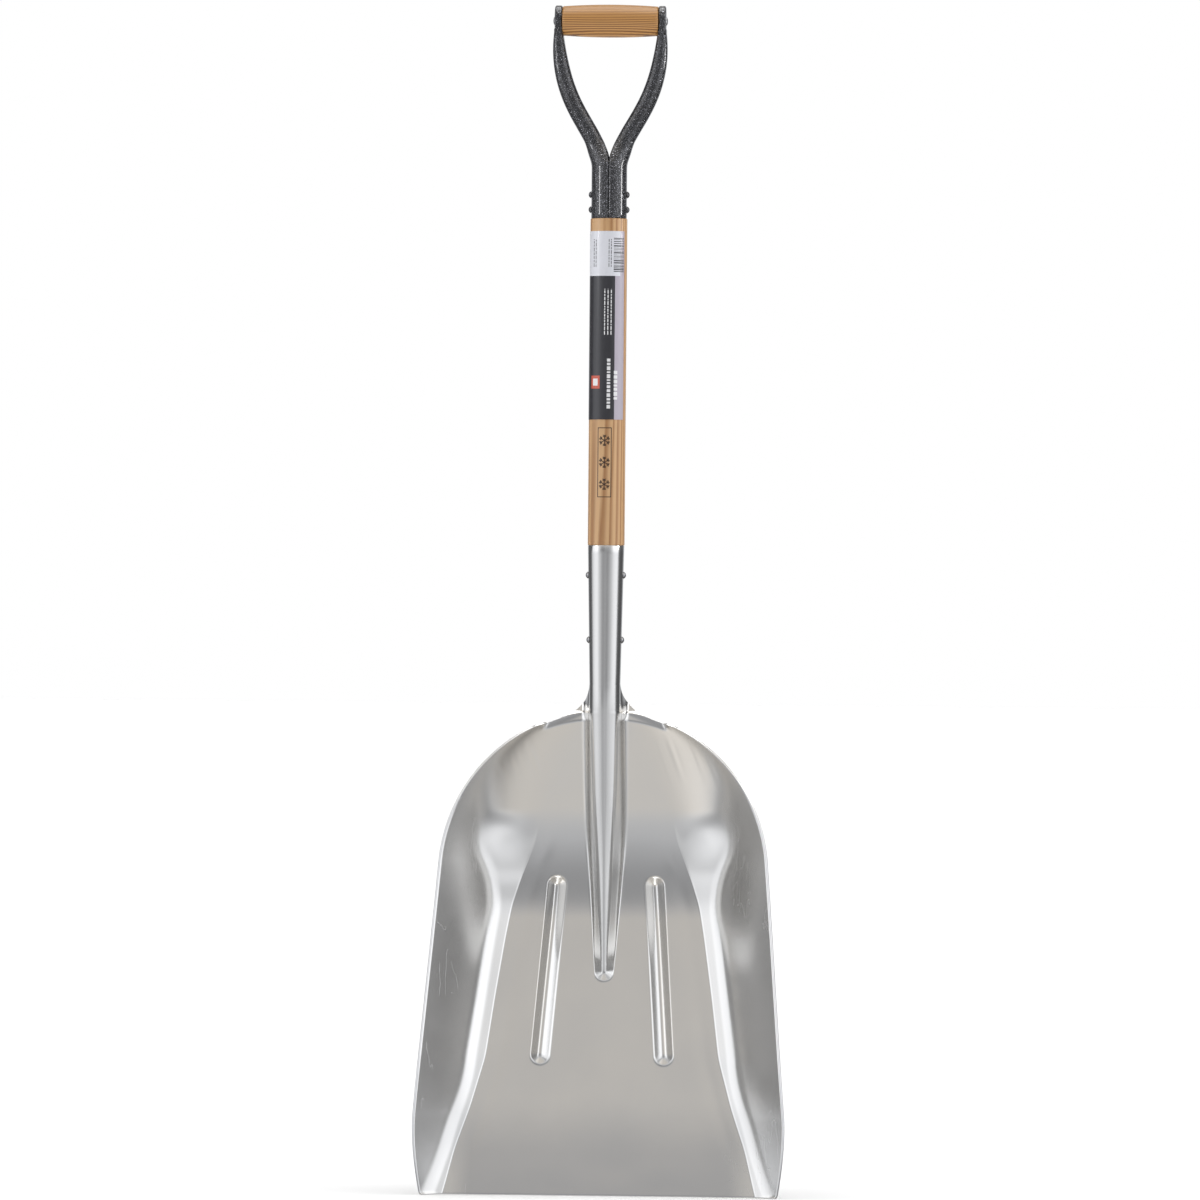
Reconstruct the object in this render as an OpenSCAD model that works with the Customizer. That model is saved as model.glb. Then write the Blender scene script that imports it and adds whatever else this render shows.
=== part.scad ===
// Scoop shovel: a pressed aluminium pan with a rolled socket, an ash shaft and a steel D-grip.
// Frame: +Z runs up the shaft, +X to the right, the open side of the pan faces -Y, and the
// origin is the middle of the digging edge. Millimetres.

/* [Pan outline] */
// Radius of the round back of the pan
shoulder_r = 164; // [160:0.5:168]
// Height of the centre of that radius above the digging edge
shoulder_z = 320; // [316:1:324]
// Outward lean of the straight side edges, per mm of length
side_taper = 0.08; // [0.05:0.01:0.1]
// How far each side edge pulls in at the digging edge
corner_cut = 13; // [6:1:16]
// Thickness of the aluminium sheet
sheet_t = 2.5; // [2:0.1:2.8]

/* [Pan depth] */
// Lean of the floor away from the shaft axis, in degrees
floor_tilt = 18; // [17:0.5:19]
// Lean of the back panel the other way, in degrees
back_tilt = 20; // [18:0.5:22]
// Height of the back panel's top edge
pan_top_z = 484; // [482:1:486]
// Depth of the back panel's top edge behind the digging edge
pan_top_y = 50; // [48:1:52]
// Steepness of the side walls, in degrees
wall_angle = 49; // [47:1:51]
// How far each end of the digging edge curls forward
corner_rise = 14; // [10:1:16]

/* [Ridge and ribs] */
// Half width of the frog ridge at its foot, near the neck
ridge_half_w = 24; // [23:0.5:25]
// Height of the ridge's lower tip above the digging edge
ridge_tip_z = 211; // [205:1:217]
// Width of each stiffening rib
rib_w = 22; // [20:1:23]
// How far each rib stands up from the floor
rib_h = 6.8; // [5:0.2:7.4]
// Height of each rib's lower end
rib_low_z = 128; // [120:1:140]
// Height of each rib's upper end
rib_high_z = 318; // [300:1:320]

/* [Socket and shaft] */
// Outer radius at the top of the socket
socket_top_r = 18.25; // [18:0.05:18.5]
// Outer radius at the neck of the socket
socket_low_r = 15.5; // [15.3:0.05:15.8]
// Height of the top of the socket
socket_top_z = 651; // [620:1:680]
// Diameter of the shaft
shaft_d = 37; // [36.6:0.1:38]
// Distance of the shaft axis behind the digging edge
shaft_y = 38; // [37:0.5:39]
// Height at which the shaft enters the yoke
yoke_z = 979; // [950:1:1000]

/* [Yoke and grip] */
// Outer radius of the yoke's lower collar
yoke_r = 18; // [17.6:0.1:18.4]
// Thickness of the yoke's steel sheet
yoke_t = 1.5; // [1.2:0.1:1.8]
// Distance from the shaft axis to the middle of each eye
eye_x = 52; // [50:0.5:56]
// Thickness of each flattened eye
eye_t = 7.6; // [7.4:0.1:7.8]
// Radius of the wooden grip at its middle
grip_r = 16.5; // [15.5:0.1:17.5]
// Radius of the wooden grip at its ends
grip_end_r = 14.8; // [13.5:0.1:15.4]
// Radius of the rod through the grip
rod_r = 3.5; // [3:0.1:4]

/* [Rivets and label] */
// Radius of every rivet's shank
rivet_r = 2.5; // [2:0.1:3]
// Radius of every rivet's domed head
rivet_head_r = 3.6; // [3.4:0.1:5]
// Height of every rivet's domed head
rivet_head_h = 2.6; // [1.5:0.1:3]
// Height of the label's lower end
label_low_z = 777; // [740:1:800]
// Height of the label's upper end
label_high_z = 966; // [930:1:972]

/* [Hidden] */

fit_gap = 0.05;                             // between a rivet or rod and its hole
wood_gap = 0.1;                             // between the wood and the metal round it
FACETS = 64;                                // fineness of the round parts
ARC_STEPS = 6;                              // steps in each short arc of their outlines
CROSS_LENGTH = 60;                          // length of the cutter for a rivet's hole

// Pan outline
taper_deg = atan(side_taper);
side_z = shoulder_z + shoulder_r * sin(taper_deg);      // where a straight side leaves the round back
side_x = shoulder_r * cos(taper_deg);
corner_z = 80;                              // height at which a side edge starts to pull in
corner_curve = 1.6;                         // power of that curve
corner_round = 4;                           // radius that takes off the sharp corner
neck_z = 512;                               // where the sheet's free edges reach the socket's sides
flare_z = 468;                              // where they leave the round back

// Pan depth
bend_soft = 39;                             // size of the bend between floor and back panel
edge_half = sheet_t / cos(floor_tilt) / 2;  // half the width of the level digging edge
rim_z = 140;                                // below this the rim curves forward to the corner
rim_y = -17;                                // depth of the rim there
rim_curve = 1.8;                            // power of that curve
rim_slope = 0.26;                           // backward lean of the rim above it, per mm
rim_high_slope = 0.128;                     // and of the rim of the round back
rim_soft = 10;                              // size of the bend between the two
fillet_low = 15;                            // size of the fillet at the foot of a side wall
fillet_high = 30;                           // and in the round back
fillet_grow = [230, 340];                   // heights between which it changes
fillet_share = 0.9;                         // largest share of the pan's depth that it takes
fillet_soft = 16;                           // size of the change to that share
wall_ease = 6;                              // how much less steep the wall is at the top, in degrees
min_wall_w = 12;                            // least width kept for the columns of a wall

// Ridge
ridge_bend_z = 500;                         // where the ridge leaves the line of the socket
ridge_bend_soft = 15;
tip_r = 10.5;                               // half width of the ridge at its lower tip
tip_z = ridge_tip_z + tip_r;
ridge_flare = 0.0873;                       // growth of the half width per mm above the tip
ridge_wide_z = 368;                         // where the ridge reaches its full width
ridge_drift = 0.009;                        // slow growth above that
crest_share = 0.65;                         // share of the two radii that the crest takes
flank_share = [1.19, 1.96];                 // flank angle per degree of rise, low down and higher up
flank_share_z = [300, 440];                 // heights between which it changes
flank_steep = [76, 80, 78];                 // flank angle low down, in the middle and at the top
flank_z = [[246, 316], [400, pan_top_z]];   // heights between which it changes
valley_r = 8.5;                             // radius of the hollow beside the neck

// Ribs: the centre line leans outward towards the digging edge
rib_x = 49.5;                               // distance from the middle at the upper end
rib_lean = 0.075;
bead_crest = 2.6;                           // roundness of the crest of a rib
bead_foot = 1.2;                            // and of its foot

// Socket
close_z = 530;                              // above this the sheet is wrapped right round
wrap_angle = 174;                           // from the front to the rear seam
tenon_low_z = 515;                          // lower end of the wood inside the socket
tenon_bevel = 1;                            // bevel at each end of the shaft
socket_rivet_z = [621, 556];

// Yoke
crotch_z = 1030;                            // where the two halves start to part
arm_top_z = 1165;
strip_top_z = 1169;
yoke_rivet_z = [1003, 988];
seam_gap = 1;                               // from the middle plane to each half's edge
arm_r = 9;                                  // radius of an arm rolled into a tube
roll_end = 0.3;                             // share of the arm over which it rolls up
arm_top_w = 9;                              // width of the flattened arm below the eye
eye_r = 12.6;
eye_foot_w = 22;                            // width of the plate that joins an eye to its arm
eye_foot_z = arm_top_z - 2;
eye_z = 1180.4;
tenon_high_z = 1036;
half_strip = yoke_r * acos(seam_gap / yoke_r) * PI / 180;

// Grip
grip_z = 1177.5;
end_gap = 0.2;                              // between the wood and each eye
end_bevel = 1;                              // rounding at each end of the wood
grip_half = eye_x - eye_t / 2 - end_gap;
rod_head_r = 4.4;
rod_head_h = 1.8;
label_t = 0.25;
label_gap = 0.02;                           // between the label and the wood
label_start = 60;                           // direction of the label's edge, in degrees from +X
label_turn = 300;                           // degrees of the shaft that the label covers

function clamp01(t) = min(1, max(0, t));
function ease(a, b, x) = let (t = clamp01((x - a) / (b - a))) t * t * (3 - 2 * t);
function mix(a, b, t) = a + (b - a) * t;
// The smaller of two values, rounded where they are within k of each other.
function soft_min(a, b, k) =
    let (h = k > 0 ? max(k - abs(a - b), 0) / k : 0) min(a, b) - h * h * k / 4;
function bezier(p, t) =
    p[0] * pow(1 - t, 3) + 3 * p[1] * pow(1 - t, 2) * t + 3 * p[2] * (1 - t) * t * t + p[3] * pow(t, 3);

// ---- Pan: depth of its front face as a function of x (from the middle) and z ----

// Half width of the pan at height z, below the flare of the neck.
function pan_half_width(z) =
    z > side_z
    ? sqrt(pow(shoulder_r, 2) - pow(z - shoulder_z, 2))
    : side_x + side_taper * (side_z - z)
      - corner_cut * pow(max(corner_z - z, 0) / corner_z, corner_curve)
      - (z < corner_round ? corner_round - sqrt(pow(corner_round, 2) - pow(corner_round - z, 2)) : 0);

// Distance in from the edge, square to it.
function rim_distance(x, z) =
    z - shoulder_z > x * side_taper
    ? max(shoulder_r - norm([x, z - shoulder_z]), 0)
    : max(pan_half_width(z) - x, 0) * cos(taper_deg);

// Height of the nearest point of the edge.
function nearest_rim_z(x, z) =
    z - shoulder_z > x * side_taper
    ? shoulder_z + shoulder_r * (z - shoulder_z) / max(norm([x, z - shoulder_z]), 1)
    : z + rim_distance(x, z) * sin(taper_deg);

function rim_depth(z) =
    soft_min(rim_y + rim_slope * (z - rim_z), pan_top_y - rim_high_slope * (pan_top_z - z), rim_soft)
    + (rim_slope * rim_z - rim_y - corner_rise) * pow(max(rim_z - z, 0) / rim_z, rim_curve);

function panel_depth(z) =
    soft_min(z * tan(floor_tilt) - edge_half, pan_top_y + (pan_top_z - z) * tan(back_tilt), bend_soft);

function wall_slope(z) = tan(wall_angle - wall_ease * ease(side_z, pan_top_z, z));

function pan_depth(x, z) =
    let (panel = panel_depth(z),
         edge_z = nearest_rim_z(x, z),
         wall = rim_depth(edge_z) + rim_distance(x, z) * wall_slope(edge_z),
         wanted = mix(fillet_low, fillet_high, ease(fillet_grow[0], fillet_grow[1], z)),
         size = max(soft_min(wanted, fillet_share * (panel - rim_depth(z)), fillet_soft), 0))
    soft_min(panel, wall, size);

// Height of a roof-shaped bead with a rounded crest and foot at distance r from its middle line.
function bead(r, half_w, h) =
    let (run = half_w - 1, slope = h / (norm([run, bead_crest]) - bead_crest))
    r >= half_w + bead_foot ? 0
    : -soft_min(slope * (norm([r, bead_crest]) - bead_crest) - h, 0, bead_foot);

function rib_height(x, z) =
    let (end_r = rib_w / 2,
         line_z = min(max(z, rib_low_z + end_r), rib_high_z - end_r),
         line_x = rib_x + rib_lean * (rib_high_z - end_r - line_z))
    bead(norm([x - line_x, z - line_z]), end_r, rib_h);

// ---- Ridge: crest arc, straight flank, hollow arc, then the pan ----

function socket_r(z) =
    mix(socket_low_r, socket_top_r, clamp01((z - neck_z) / (socket_top_z - neck_z)));

ridge_meets_z = ridge_tip_z - 2;            // where the line of the crest meets the floor
ridge_lean = (ridge_meets_z * tan(floor_tilt) - edge_half - shaft_y + socket_low_r)
             / (ridge_bend_z - ridge_meets_z);

function crest_depth(z) =
    let (down = ridge_bend_z - z,
         soft = ridge_bend_soft,
         run = down > soft ? down : down < -soft ? 0 : pow(down + soft, 2) / (4 * soft))
    shaft_y - socket_r(z) + ridge_lean * run;

function ridge_foot(z) =
    soft_min(tip_r + (z - tip_z) * ridge_flare, ridge_half_w + (z - ridge_wide_z) * ridge_drift, 3);

function flank_angle(z) =
    mix(mix(flank_steep[0], flank_steep[1], ease(flank_z[0][0], flank_z[0][1], z)),
        flank_steep[2], ease(flank_z[1][0], flank_z[1][1], z));

// [crest radius, flank angle, flank length, hollow radius] of the ridge at height z
function ridge_form(z) =
    z > close_z ? [socket_r(z), wrap_angle, 0, valley_r]
    : z > neck_z ? [socket_r(z), mix(90, wrap_angle, ease(neck_z, close_z, z)), 0, valley_r]
    : z > pan_top_z
    ? let (angle = mix(flank_angle(pan_top_z), 90, (z - pan_top_z) / (neck_z - pan_top_z)),
           height = pan_depth(0, z) - crest_depth(z),
           rounds = socket_r(z) + valley_r)
      [socket_r(z), angle, max(0, (height - rounds * (1 - cos(angle))) / sin(angle)), valley_r]
    : let (foot = ridge_foot(z),
           height = pan_depth(foot, z) - crest_depth(z),
           share = mix(flank_share[0], flank_share[1], ease(flank_share_z[0], flank_share_z[1], z)),
           angle = min(flank_angle(z), share * atan(height / foot)),
           rounds = (foot * sin(angle) - height * cos(angle)) / (1 - cos(angle)))
      [crest_share * rounds, angle, (height - rounds * (1 - cos(angle))) / sin(angle),
       (1 - crest_share) * rounds];

// Length along the section to the end of the crest, flank and hollow, and the foot's half width.
function ridge_marks(f) =
    let (crest = f[0] * f[1] * PI / 180,
         flank = crest + f[2],
         hollow = flank + f[3] * f[1] * PI / 180)
    [crest, flank, hollow, (f[0] + f[3]) * sin(f[1]) + f[2] * cos(f[1])];

// Point [x, depth] of the section at length s from the crest.
function ridge_point(f, m, s, crest_y) =
    let (angle = s / f[0] * 180 / PI,
         side_x = f[0] * sin(f[1]),
         side_y = f[0] * (1 - cos(f[1])),
         along = min(s - m[0], f[2]),
         back = f[1] - max(s - m[1], 0) / f[3] * 180 / PI)
    s <= m[0]
    ? [f[0] * sin(angle), crest_y + f[0] * (1 - cos(angle))]
    : [side_x + along * cos(f[1]) + (s > m[1] ? f[3] * (sin(f[1]) - sin(back)) : 0),
       crest_y + side_y + along * sin(f[1]) + (s > m[1] ? f[3] * (cos(back) - cos(f[1])) : 0)];

tip_form = ridge_form(tip_z);
tip_marks = ridge_marks(tip_form);
tip_height = pan_depth(tip_r, tip_z) - crest_depth(tip_z);

// Height of the ridge's rounded lower end at distance r from its centre.
function tip_rise(r) =
    let (crest_x = tip_form[0] * sin(tip_form[1]),
         flank_x = crest_x + tip_form[2] * cos(tip_form[1]),
         crest_drop = tip_form[0] * (1 - cos(tip_form[1])))
    r >= tip_marks[3] ? 0
    : r < crest_x ? tip_height - tip_form[0] + sqrt(pow(tip_form[0], 2) - r * r)
    : r < flank_x ? tip_height - crest_drop - (r - crest_x) * tan(tip_form[1])
    : tip_form[3] - sqrt(pow(tip_form[3], 2) - pow(tip_marks[3] - r, 2));

// ---- The sheet as a grid: rows at rising z, columns from the crest to the free edge ----

neck_curve = [[71, flare_z], [48, 481.5], [16.5, 488], [socket_low_r, neck_z]];
// [lower end, upper end, number of rows] of each band of the pan
ROW_BANDS = [[0, 4, 2], [4, 40, 3], [40, rib_low_z, 3], [rib_low_z, rib_low_z + 6, 2],
             [rib_low_z + 6, ridge_tip_z, 3], [ridge_tip_z, tip_z, 3], [tip_z, 250, 2],
             [250, rib_high_z - 6, 3], [rib_high_z - 6, rib_high_z, 2], [rib_high_z, 380, 4],
             [380, flare_z, 6]];
NECK_ROWS = 8;
WRAP_ROWS = 4;

// Each row is [height, half width of the outline]; in the wrapped neck the width isn't used.
rows = [
    for (b = ROW_BANDS, i = [0 : b[2] - 1])
        let (z = mix(b[0], b[1], i / b[2])) [z, pan_half_width(z)],
    for (i = [0 : NECK_ROWS])
        let (p = bezier(neck_curve, i / NECK_ROWS)) [p[1], p[0]],
    for (i = [1 : WRAP_ROWS])
        [mix(neck_z, close_z, i / WRAP_ROWS), socket_low_r],
    [socket_top_z, socket_top_r]
];

CREST_COLUMNS = 4;
FLANK_COLUMNS = 1;
HOLLOW_COLUMNS = 2;
RIB_COLUMNS = 6;
FILLET_COLUMNS = 4;
INNER_COLUMNS = 2;                          // between the ridge and the rib
OUTER_COLUMNS = 2;                          // on the wall outside the fillet
columns = CREST_COLUMNS + FLANK_COLUMNS + HOLLOW_COLUMNS
          + INNER_COLUMNS + RIB_COLUMNS + FILLET_COLUMNS + OUTER_COLUMNS;
fillet_clear = 6;                           // least distance from a rib's foot to the fillet's columns
column_step = 2;                            // and between those columns
widest_fillet = 0.45;                       // share of the wall that half a fillet may take
even_z = 440;                               // above this the columns spread out evenly

// Places across the pan at height z where its columns run, from the ridge's foot to the edge.
function pan_columns(z, foot, edge) =
    let (level = min(z, rib_high_z),
         mid = rib_x + rib_lean * (rib_high_z - rib_w / 2 - level),
         wall_w = max(min_wall_w, (panel_depth(level) - rim_depth(level)) / wall_slope(level)),
         wall_foot = pan_half_width(level) - wall_w,
         half_fillet = min(fillet_low / wall_slope(level), widest_fillet * wall_w),
         low = ridge_foot(min(level, side_z)),
         span = pan_half_width(level) - low,
         wanted = [
             for (i = [1 : INNER_COLUMNS]) mix(low, mid - rib_w / 2, i / INNER_COLUMNS),
             for (i = [1 : RIB_COLUMNS]) mid + rib_w * (i / RIB_COLUMNS - 0.5),
             for (i = [0 : FILLET_COLUMNS - 1])
                 max(mid + rib_w / 2 + fillet_clear + column_step * i,
                     wall_foot + half_fillet * (2 * i / (FILLET_COLUMNS - 1) - 1)),
             for (i = [1 : OUTER_COLUMNS])
                 mix(wall_foot + half_fillet, pan_half_width(level), i / OUTER_COLUMNS)
         ],
         count = len(wanted))
    [for (i = [0 : count - 1])
        foot + (edge - foot)
        * mix((wanted[i] - low) / span, (i + 1) / count, ease(rib_high_z, even_z, z))];

// Lengths along the section of row [z, half width] at which its columns stand.
function row_lengths(z, edge) =
    let (f = ridge_form(z),
         m = ridge_marks(f),
         past = (m[3] - edge) / f[3],
         total = z > neck_z ? m[0]
             : edge >= m[3] ? m[2] + edge - m[3]
             : m[1] + f[3] * (f[1] - asin(min(1, past))) * PI / 180,
         even = ease(even_z, pan_top_z, z),
         marked = z > pan_top_z ? [] : concat(
             [for (i = [0 : CREST_COLUMNS]) m[0] * i / CREST_COLUMNS],
             [for (i = [1 : FLANK_COLUMNS]) mix(m[0], m[1], i / FLANK_COLUMNS)],
             [for (i = [1 : HOLLOW_COLUMNS]) mix(m[1], m[2], i / HOLLOW_COLUMNS)],
             [for (x = pan_columns(z, m[3], edge)) m[2] + x - m[3]]))
    [for (i = [0 : columns])
        z > pan_top_z ? total * i / columns : mix(marked[i], total * i / columns, even)];

// Front face of the sheet at length s along the row at height z.
function front_point(z, s) =
    let (f = ridge_form(z), m = ridge_marks(f))
    s <= m[2] || z > neck_z
    ? let (p = ridge_point(f, m, s, crest_depth(z))) [p[0], p[1], z]
    : let (x = m[3] + s - m[2]) [x, pan_depth(x, z) - rib_height(x, z), z];

// Below the tip the columns keep the places that they have there.
function row_points(r) =
    let (z = r[0], place_z = max(z, tip_z), lengths = row_lengths(place_z, max(r[1], tip_r + 1)))
    z < tip_z
    ? let (f = tip_form, m = tip_marks, across = pan_columns(z, m[3], r[1]))
      [for (i = [0 : columns])
          let (x = i <= columns - len(across) ? ridge_point(f, m, lengths[i], 0)[0]
                   : across[i - columns + len(across) - 1])
          [x, pan_depth(x, z) - rib_height(x, z) - tip_rise(norm([x, tip_z - z])), z]]
    : [for (s = lengths) front_point(z, s)];

front_half = [for (r = rows) row_points(r)];
last_row = len(rows) - 1;

function unit(v) = v / norm(v);
// Direction from the front face into the sheet. The first and last rows stay level.
function inward(i, j) =
    let (up = front_half[min(i + 1, last_row)][j] - front_half[max(i - 1, 0)][j],
         across = j == 0 ? [1, 0, 0]
             : front_half[i][min(j + 1, columns)] - front_half[i][j - 1],
         n = unit(cross(up, across)))
    i == 0 || i == last_row ? [n[0], n[1], 0] / (n[0] * n[0] + n[1] * n[1]) : n;

back_half = [for (i = [0 : last_row]) [for (j = [0 : columns]) front_half[i][j] + sheet_t * inward(i, j)]];

function mirrored(p) = [-p[0], p[1], p[2]];
function whole_row(half) = concat([for (j = [columns : -1 : 1]) mirrored(half[j])], half);

// A closed solid between two grids of the same size, the first one in front.
module sheet_solid(front, back) {
    n_rows = len(front);
    n_cols = len(front[0]);
    count = n_rows * n_cols;
    function at(i, j) = i * n_cols + j;
    polyhedron(
        points = [for (r = front) each r, for (r = back) each r],
        faces = [
            for (i = [0 : n_rows - 2], j = [0 : n_cols - 2])
                each [[at(i, j), at(i + 1, j), at(i + 1, j + 1)],
                      [at(i, j), at(i + 1, j + 1), at(i, j + 1)],
                      [count + at(i, j), count + at(i + 1, j + 1), count + at(i + 1, j)],
                      [count + at(i, j), count + at(i, j + 1), count + at(i + 1, j + 1)]],
            for (j = [0 : n_cols - 2], i = [0, n_rows - 1])
                let (a = at(i, j), b = at(i, j + 1))
                i == 0 ? [a, b, count + b, count + a] : [b, a, count + a, count + b],
            for (i = [0 : n_rows - 2], j = [0, n_cols - 1])
                let (a = at(i, j), b = at(i + 1, j))
                each (j == 0
                    ? [[a, count + a, count + b], [a, count + b, b]]
                    : [[a, count + b, count + a], [a, b, count + b]])
        ]);
}

module cross_hole(z, r, length) {
    translate([-length / 2, shaft_y, z]) rotate([0, 90, 0]) cylinder(r = r, h = length, $fn = FACETS);
}

module blade() {
    color("silver")
        difference() {
            sheet_solid([for (r = front_half) whole_row(r)], [for (r = back_half) whole_row(r)]);
            for (z = socket_rivet_z) cross_hole(z, rivet_r + fit_gap, CROSS_LENGTH);
        }
}

module shaft() {
    low_r = socket_r(tenon_low_z) - sheet_t - wood_gap;
    high_r = yoke_r - yoke_t - wood_gap;
    color("burlywood")
        difference() {
            translate([0, shaft_y, 0])
                rotate_extrude($fn = FACETS)
                    polygon([[0, tenon_low_z], [low_r - tenon_bevel, tenon_low_z],
                             [low_r, tenon_low_z + tenon_bevel],
                             [socket_top_r - sheet_t - wood_gap, socket_top_z + wood_gap],
                             [shaft_d / 2, socket_top_z + wood_gap], [shaft_d / 2, yoke_z - wood_gap],
                             [high_r, yoke_z - wood_gap], [high_r, tenon_high_z - tenon_bevel],
                             [high_r - tenon_bevel, tenon_high_z], [0, tenon_high_z]]);
            for (z = concat(socket_rivet_z, yoke_rivet_z)) cross_hole(z, rivet_r + fit_gap, CROSS_LENGTH);
        }
}

// A rivet across the shaft at height z, its heads seated on metal of outer radius r.
module rivet(z, r) {
    bulge = (rivet_head_r * rivet_head_r + rivet_head_h * rivet_head_h) / (2 * rivet_head_h);
    head_angle = asin(rivet_head_r / bulge);
    seat = r + fit_gap;
    translate([0, shaft_y, z])
        rotate([0, 90, 0])
            rotate_extrude($fn = FACETS)
                polygon([
                    for (i = [0 : ARC_STEPS])
                        let (a = head_angle * i / ARC_STEPS)
                        [bulge * sin(a), -seat - rivet_head_h + bulge * (1 - cos(a))],
                    [rivet_r, -seat], [rivet_r, seat],
                    for (i = [ARC_STEPS : -1 : 0])
                        let (a = head_angle * i / ARC_STEPS)
                        [bulge * sin(a), seat + rivet_head_h - bulge * (1 - cos(a))]
                ]);
}

module socket_rivet_upper() { color("gray") rivet(socket_rivet_z[0], socket_r(socket_rivet_z[0])); }
module socket_rivet_lower() { color("gray") rivet(socket_rivet_z[1], socket_r(socket_rivet_z[1])); }
module yoke_rivet_upper() { color("dimgray") rivet(yoke_rivet_z[0], yoke_r); }
module yoke_rivet_lower() { color("dimgray") rivet(yoke_rivet_z[1], yoke_r); }

// ---- Yoke: each half is one strip, a half collar that rolls up into a tube and then flattens ----

arm_curve = [[arm_r, crotch_z], [arm_r, crotch_z + 40], [eye_x - 1, arm_top_z - 80], [eye_x, arm_top_z]];
// Share of the flattening reached at t along the arm: slow at first, quick below the eye.
early_share = 0.2;
function flattening(t) =
    let (u = max(t - roll_end, 0) / (1 - roll_end)) mix(pow(u, 6), pow(u, 2), early_share);

// Stations along a half: [x and z of the section's middle, lean of the path, roll, flattening].
ARM_ROWS = 22;
LEAN_STEP = 0.01;                           // step along the arm over which its lean is measured
stations = concat(
    [for (z = [yoke_z, (yoke_z + crotch_z) / 2]) [arm_r, z, 0, 0, 0]],
    [for (i = [0 : ARM_ROWS])
        let (t = i / ARM_ROWS,
             p = bezier(arm_curve, t),
             before = bezier(arm_curve, max(t - LEAN_STEP, 0)),
             after = bezier(arm_curve, min(t + LEAN_STEP, 1)),
             lean = atan2(after[0] - before[0], after[1] - before[1]))
        [p[0], p[1], lean, ease(0, roll_end, t), flattening(t)]],
    [[eye_x, strip_top_z, 0, 1, 1]]);

// Point [outward, back, and its outward direction] of a section at length s from the outer middle.
function strip_point(s, roll, flat) =
    let (side = sign(s), run = abs(s))
    flat > 0
    ? let (w = mix(2 * arm_r, arm_top_w, flat),
           straight = max((half_strip + seam_gap - PI * w / 2) / 2, 0),
           a = (run - straight) / (w / 2) * 180 / PI)
      run < straight ? [w / 2, s, 1, 0]
      : a < 180 ? [w / 2 * cos(a), side * (straight + w / 2 * sin(a)), cos(a), side * sin(a)]
      : [-w / 2, side * (2 * straight + PI * w / 2 - run), -1, 0]
    : let (r = 1 / mix(1 / yoke_r, 1 / arm_r, roll),
           a = run / r * 180 / PI,
           w = r * (1 - cos(half_strip / r * 180 / PI)))
      [w / 2 - r + r * cos(a), side * r * sin(a), cos(a), side * sin(a)];

STRIP_COLUMNS = 20;
function strip_row(st, depth) =
    [for (j = [0 : STRIP_COLUMNS])
        let (q = strip_point(half_strip * (2 * j / STRIP_COLUMNS - 1), st[3], st[4]),
             out = q[0] - depth * q[2],
             back = q[1] - depth * q[3])
        [st[0] + out * cos(st[2]), shaft_y + back, st[1] - out * sin(st[2])]];

module yoke_half() {
    difference() {
        union() {
            sheet_solid([for (st = stations) strip_row(st, 0)], [for (st = stations) strip_row(st, yoke_t)]);
            translate([eye_x - eye_t / 2, shaft_y, 0])
                rotate([90, 0, 90])
                    linear_extrude(eye_t) {
                        translate([0, eye_z]) circle(r = eye_r, $fn = FACETS);
                        translate([-eye_foot_w / 2, eye_foot_z])
                            square([eye_foot_w, eye_z - eye_foot_z]);
                    }
        }
        cross_hole(grip_z, rod_r + fit_gap, 2 * eye_x + CROSS_LENGTH);
        for (z = yoke_rivet_z) cross_hole(z, rivet_r + fit_gap, CROSS_LENGTH);
    }
}

module yoke_right() { color("dimgray") yoke_half(); }
module yoke_left() { color("dimgray") mirror([1, 0, 0]) yoke_half(); }

module grip() {
    color("peru")
        translate([0, shaft_y, grip_z])
            rotate([0, 90, 0])
                difference() {
                    rotate_extrude($fn = FACETS)
                        polygon([
                            [0, -grip_half], [grip_end_r - end_bevel, -grip_half],
                            for (i = [-ARC_STEPS : ARC_STEPS])
                                let (u = i / ARC_STEPS)
                                [mix(grip_r, grip_end_r, u * u), (grip_half - end_bevel) * u],
                            [grip_end_r - end_bevel, grip_half], [0, grip_half]
                        ]);
                    cylinder(r = rod_r + fit_gap, h = 4 * grip_half, center = true, $fn = FACETS);
                }
}

module grip_rod() {
    seat = eye_x + eye_t / 2 + fit_gap;
    color("lightgray")
        translate([0, shaft_y, grip_z])
            rotate([0, 90, 0])
                rotate_extrude($fn = FACETS)
                    polygon([
                        for (i = [0 : ARC_STEPS])
                            let (a = 90 * i / ARC_STEPS)
                            [rod_head_r * sin(a), -seat - rod_head_h * cos(a)],
                        [rod_r, -seat], [rod_r, seat],
                        for (i = [ARC_STEPS : -1 : 0])
                            let (a = 90 * i / ARC_STEPS)
                            [rod_head_r * sin(a), seat + rod_head_h * cos(a)]
                    ]);
}

module label() {
    inner_r = shaft_d / 2 + label_gap;
    color("white")
        translate([0, shaft_y, label_low_z])
            rotate([0, 0, label_start - label_turn])
                rotate_extrude(angle = label_turn, $fn = FACETS)
                    translate([inner_r, 0]) square([label_t, label_high_z - label_low_z]);
}

blade();
shaft();
socket_rivet_upper();
socket_rivet_lower();
yoke_left();
yoke_right();
yoke_rivet_upper();
yoke_rivet_lower();
grip();
grip_rod();
label();
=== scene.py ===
"""Looks of the scoop shovel: finer meshes, materials, studio and camera. Metres, row frame."""
import math

import bpy
import numpy as np
from mathutils import Matrix, Vector


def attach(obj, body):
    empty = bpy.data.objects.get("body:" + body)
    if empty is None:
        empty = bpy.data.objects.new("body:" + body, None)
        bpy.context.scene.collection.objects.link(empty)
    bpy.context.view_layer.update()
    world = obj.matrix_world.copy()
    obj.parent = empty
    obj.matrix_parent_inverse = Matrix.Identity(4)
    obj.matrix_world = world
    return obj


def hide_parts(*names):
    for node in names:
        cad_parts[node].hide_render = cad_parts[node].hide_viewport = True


MM = 0.001

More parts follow.
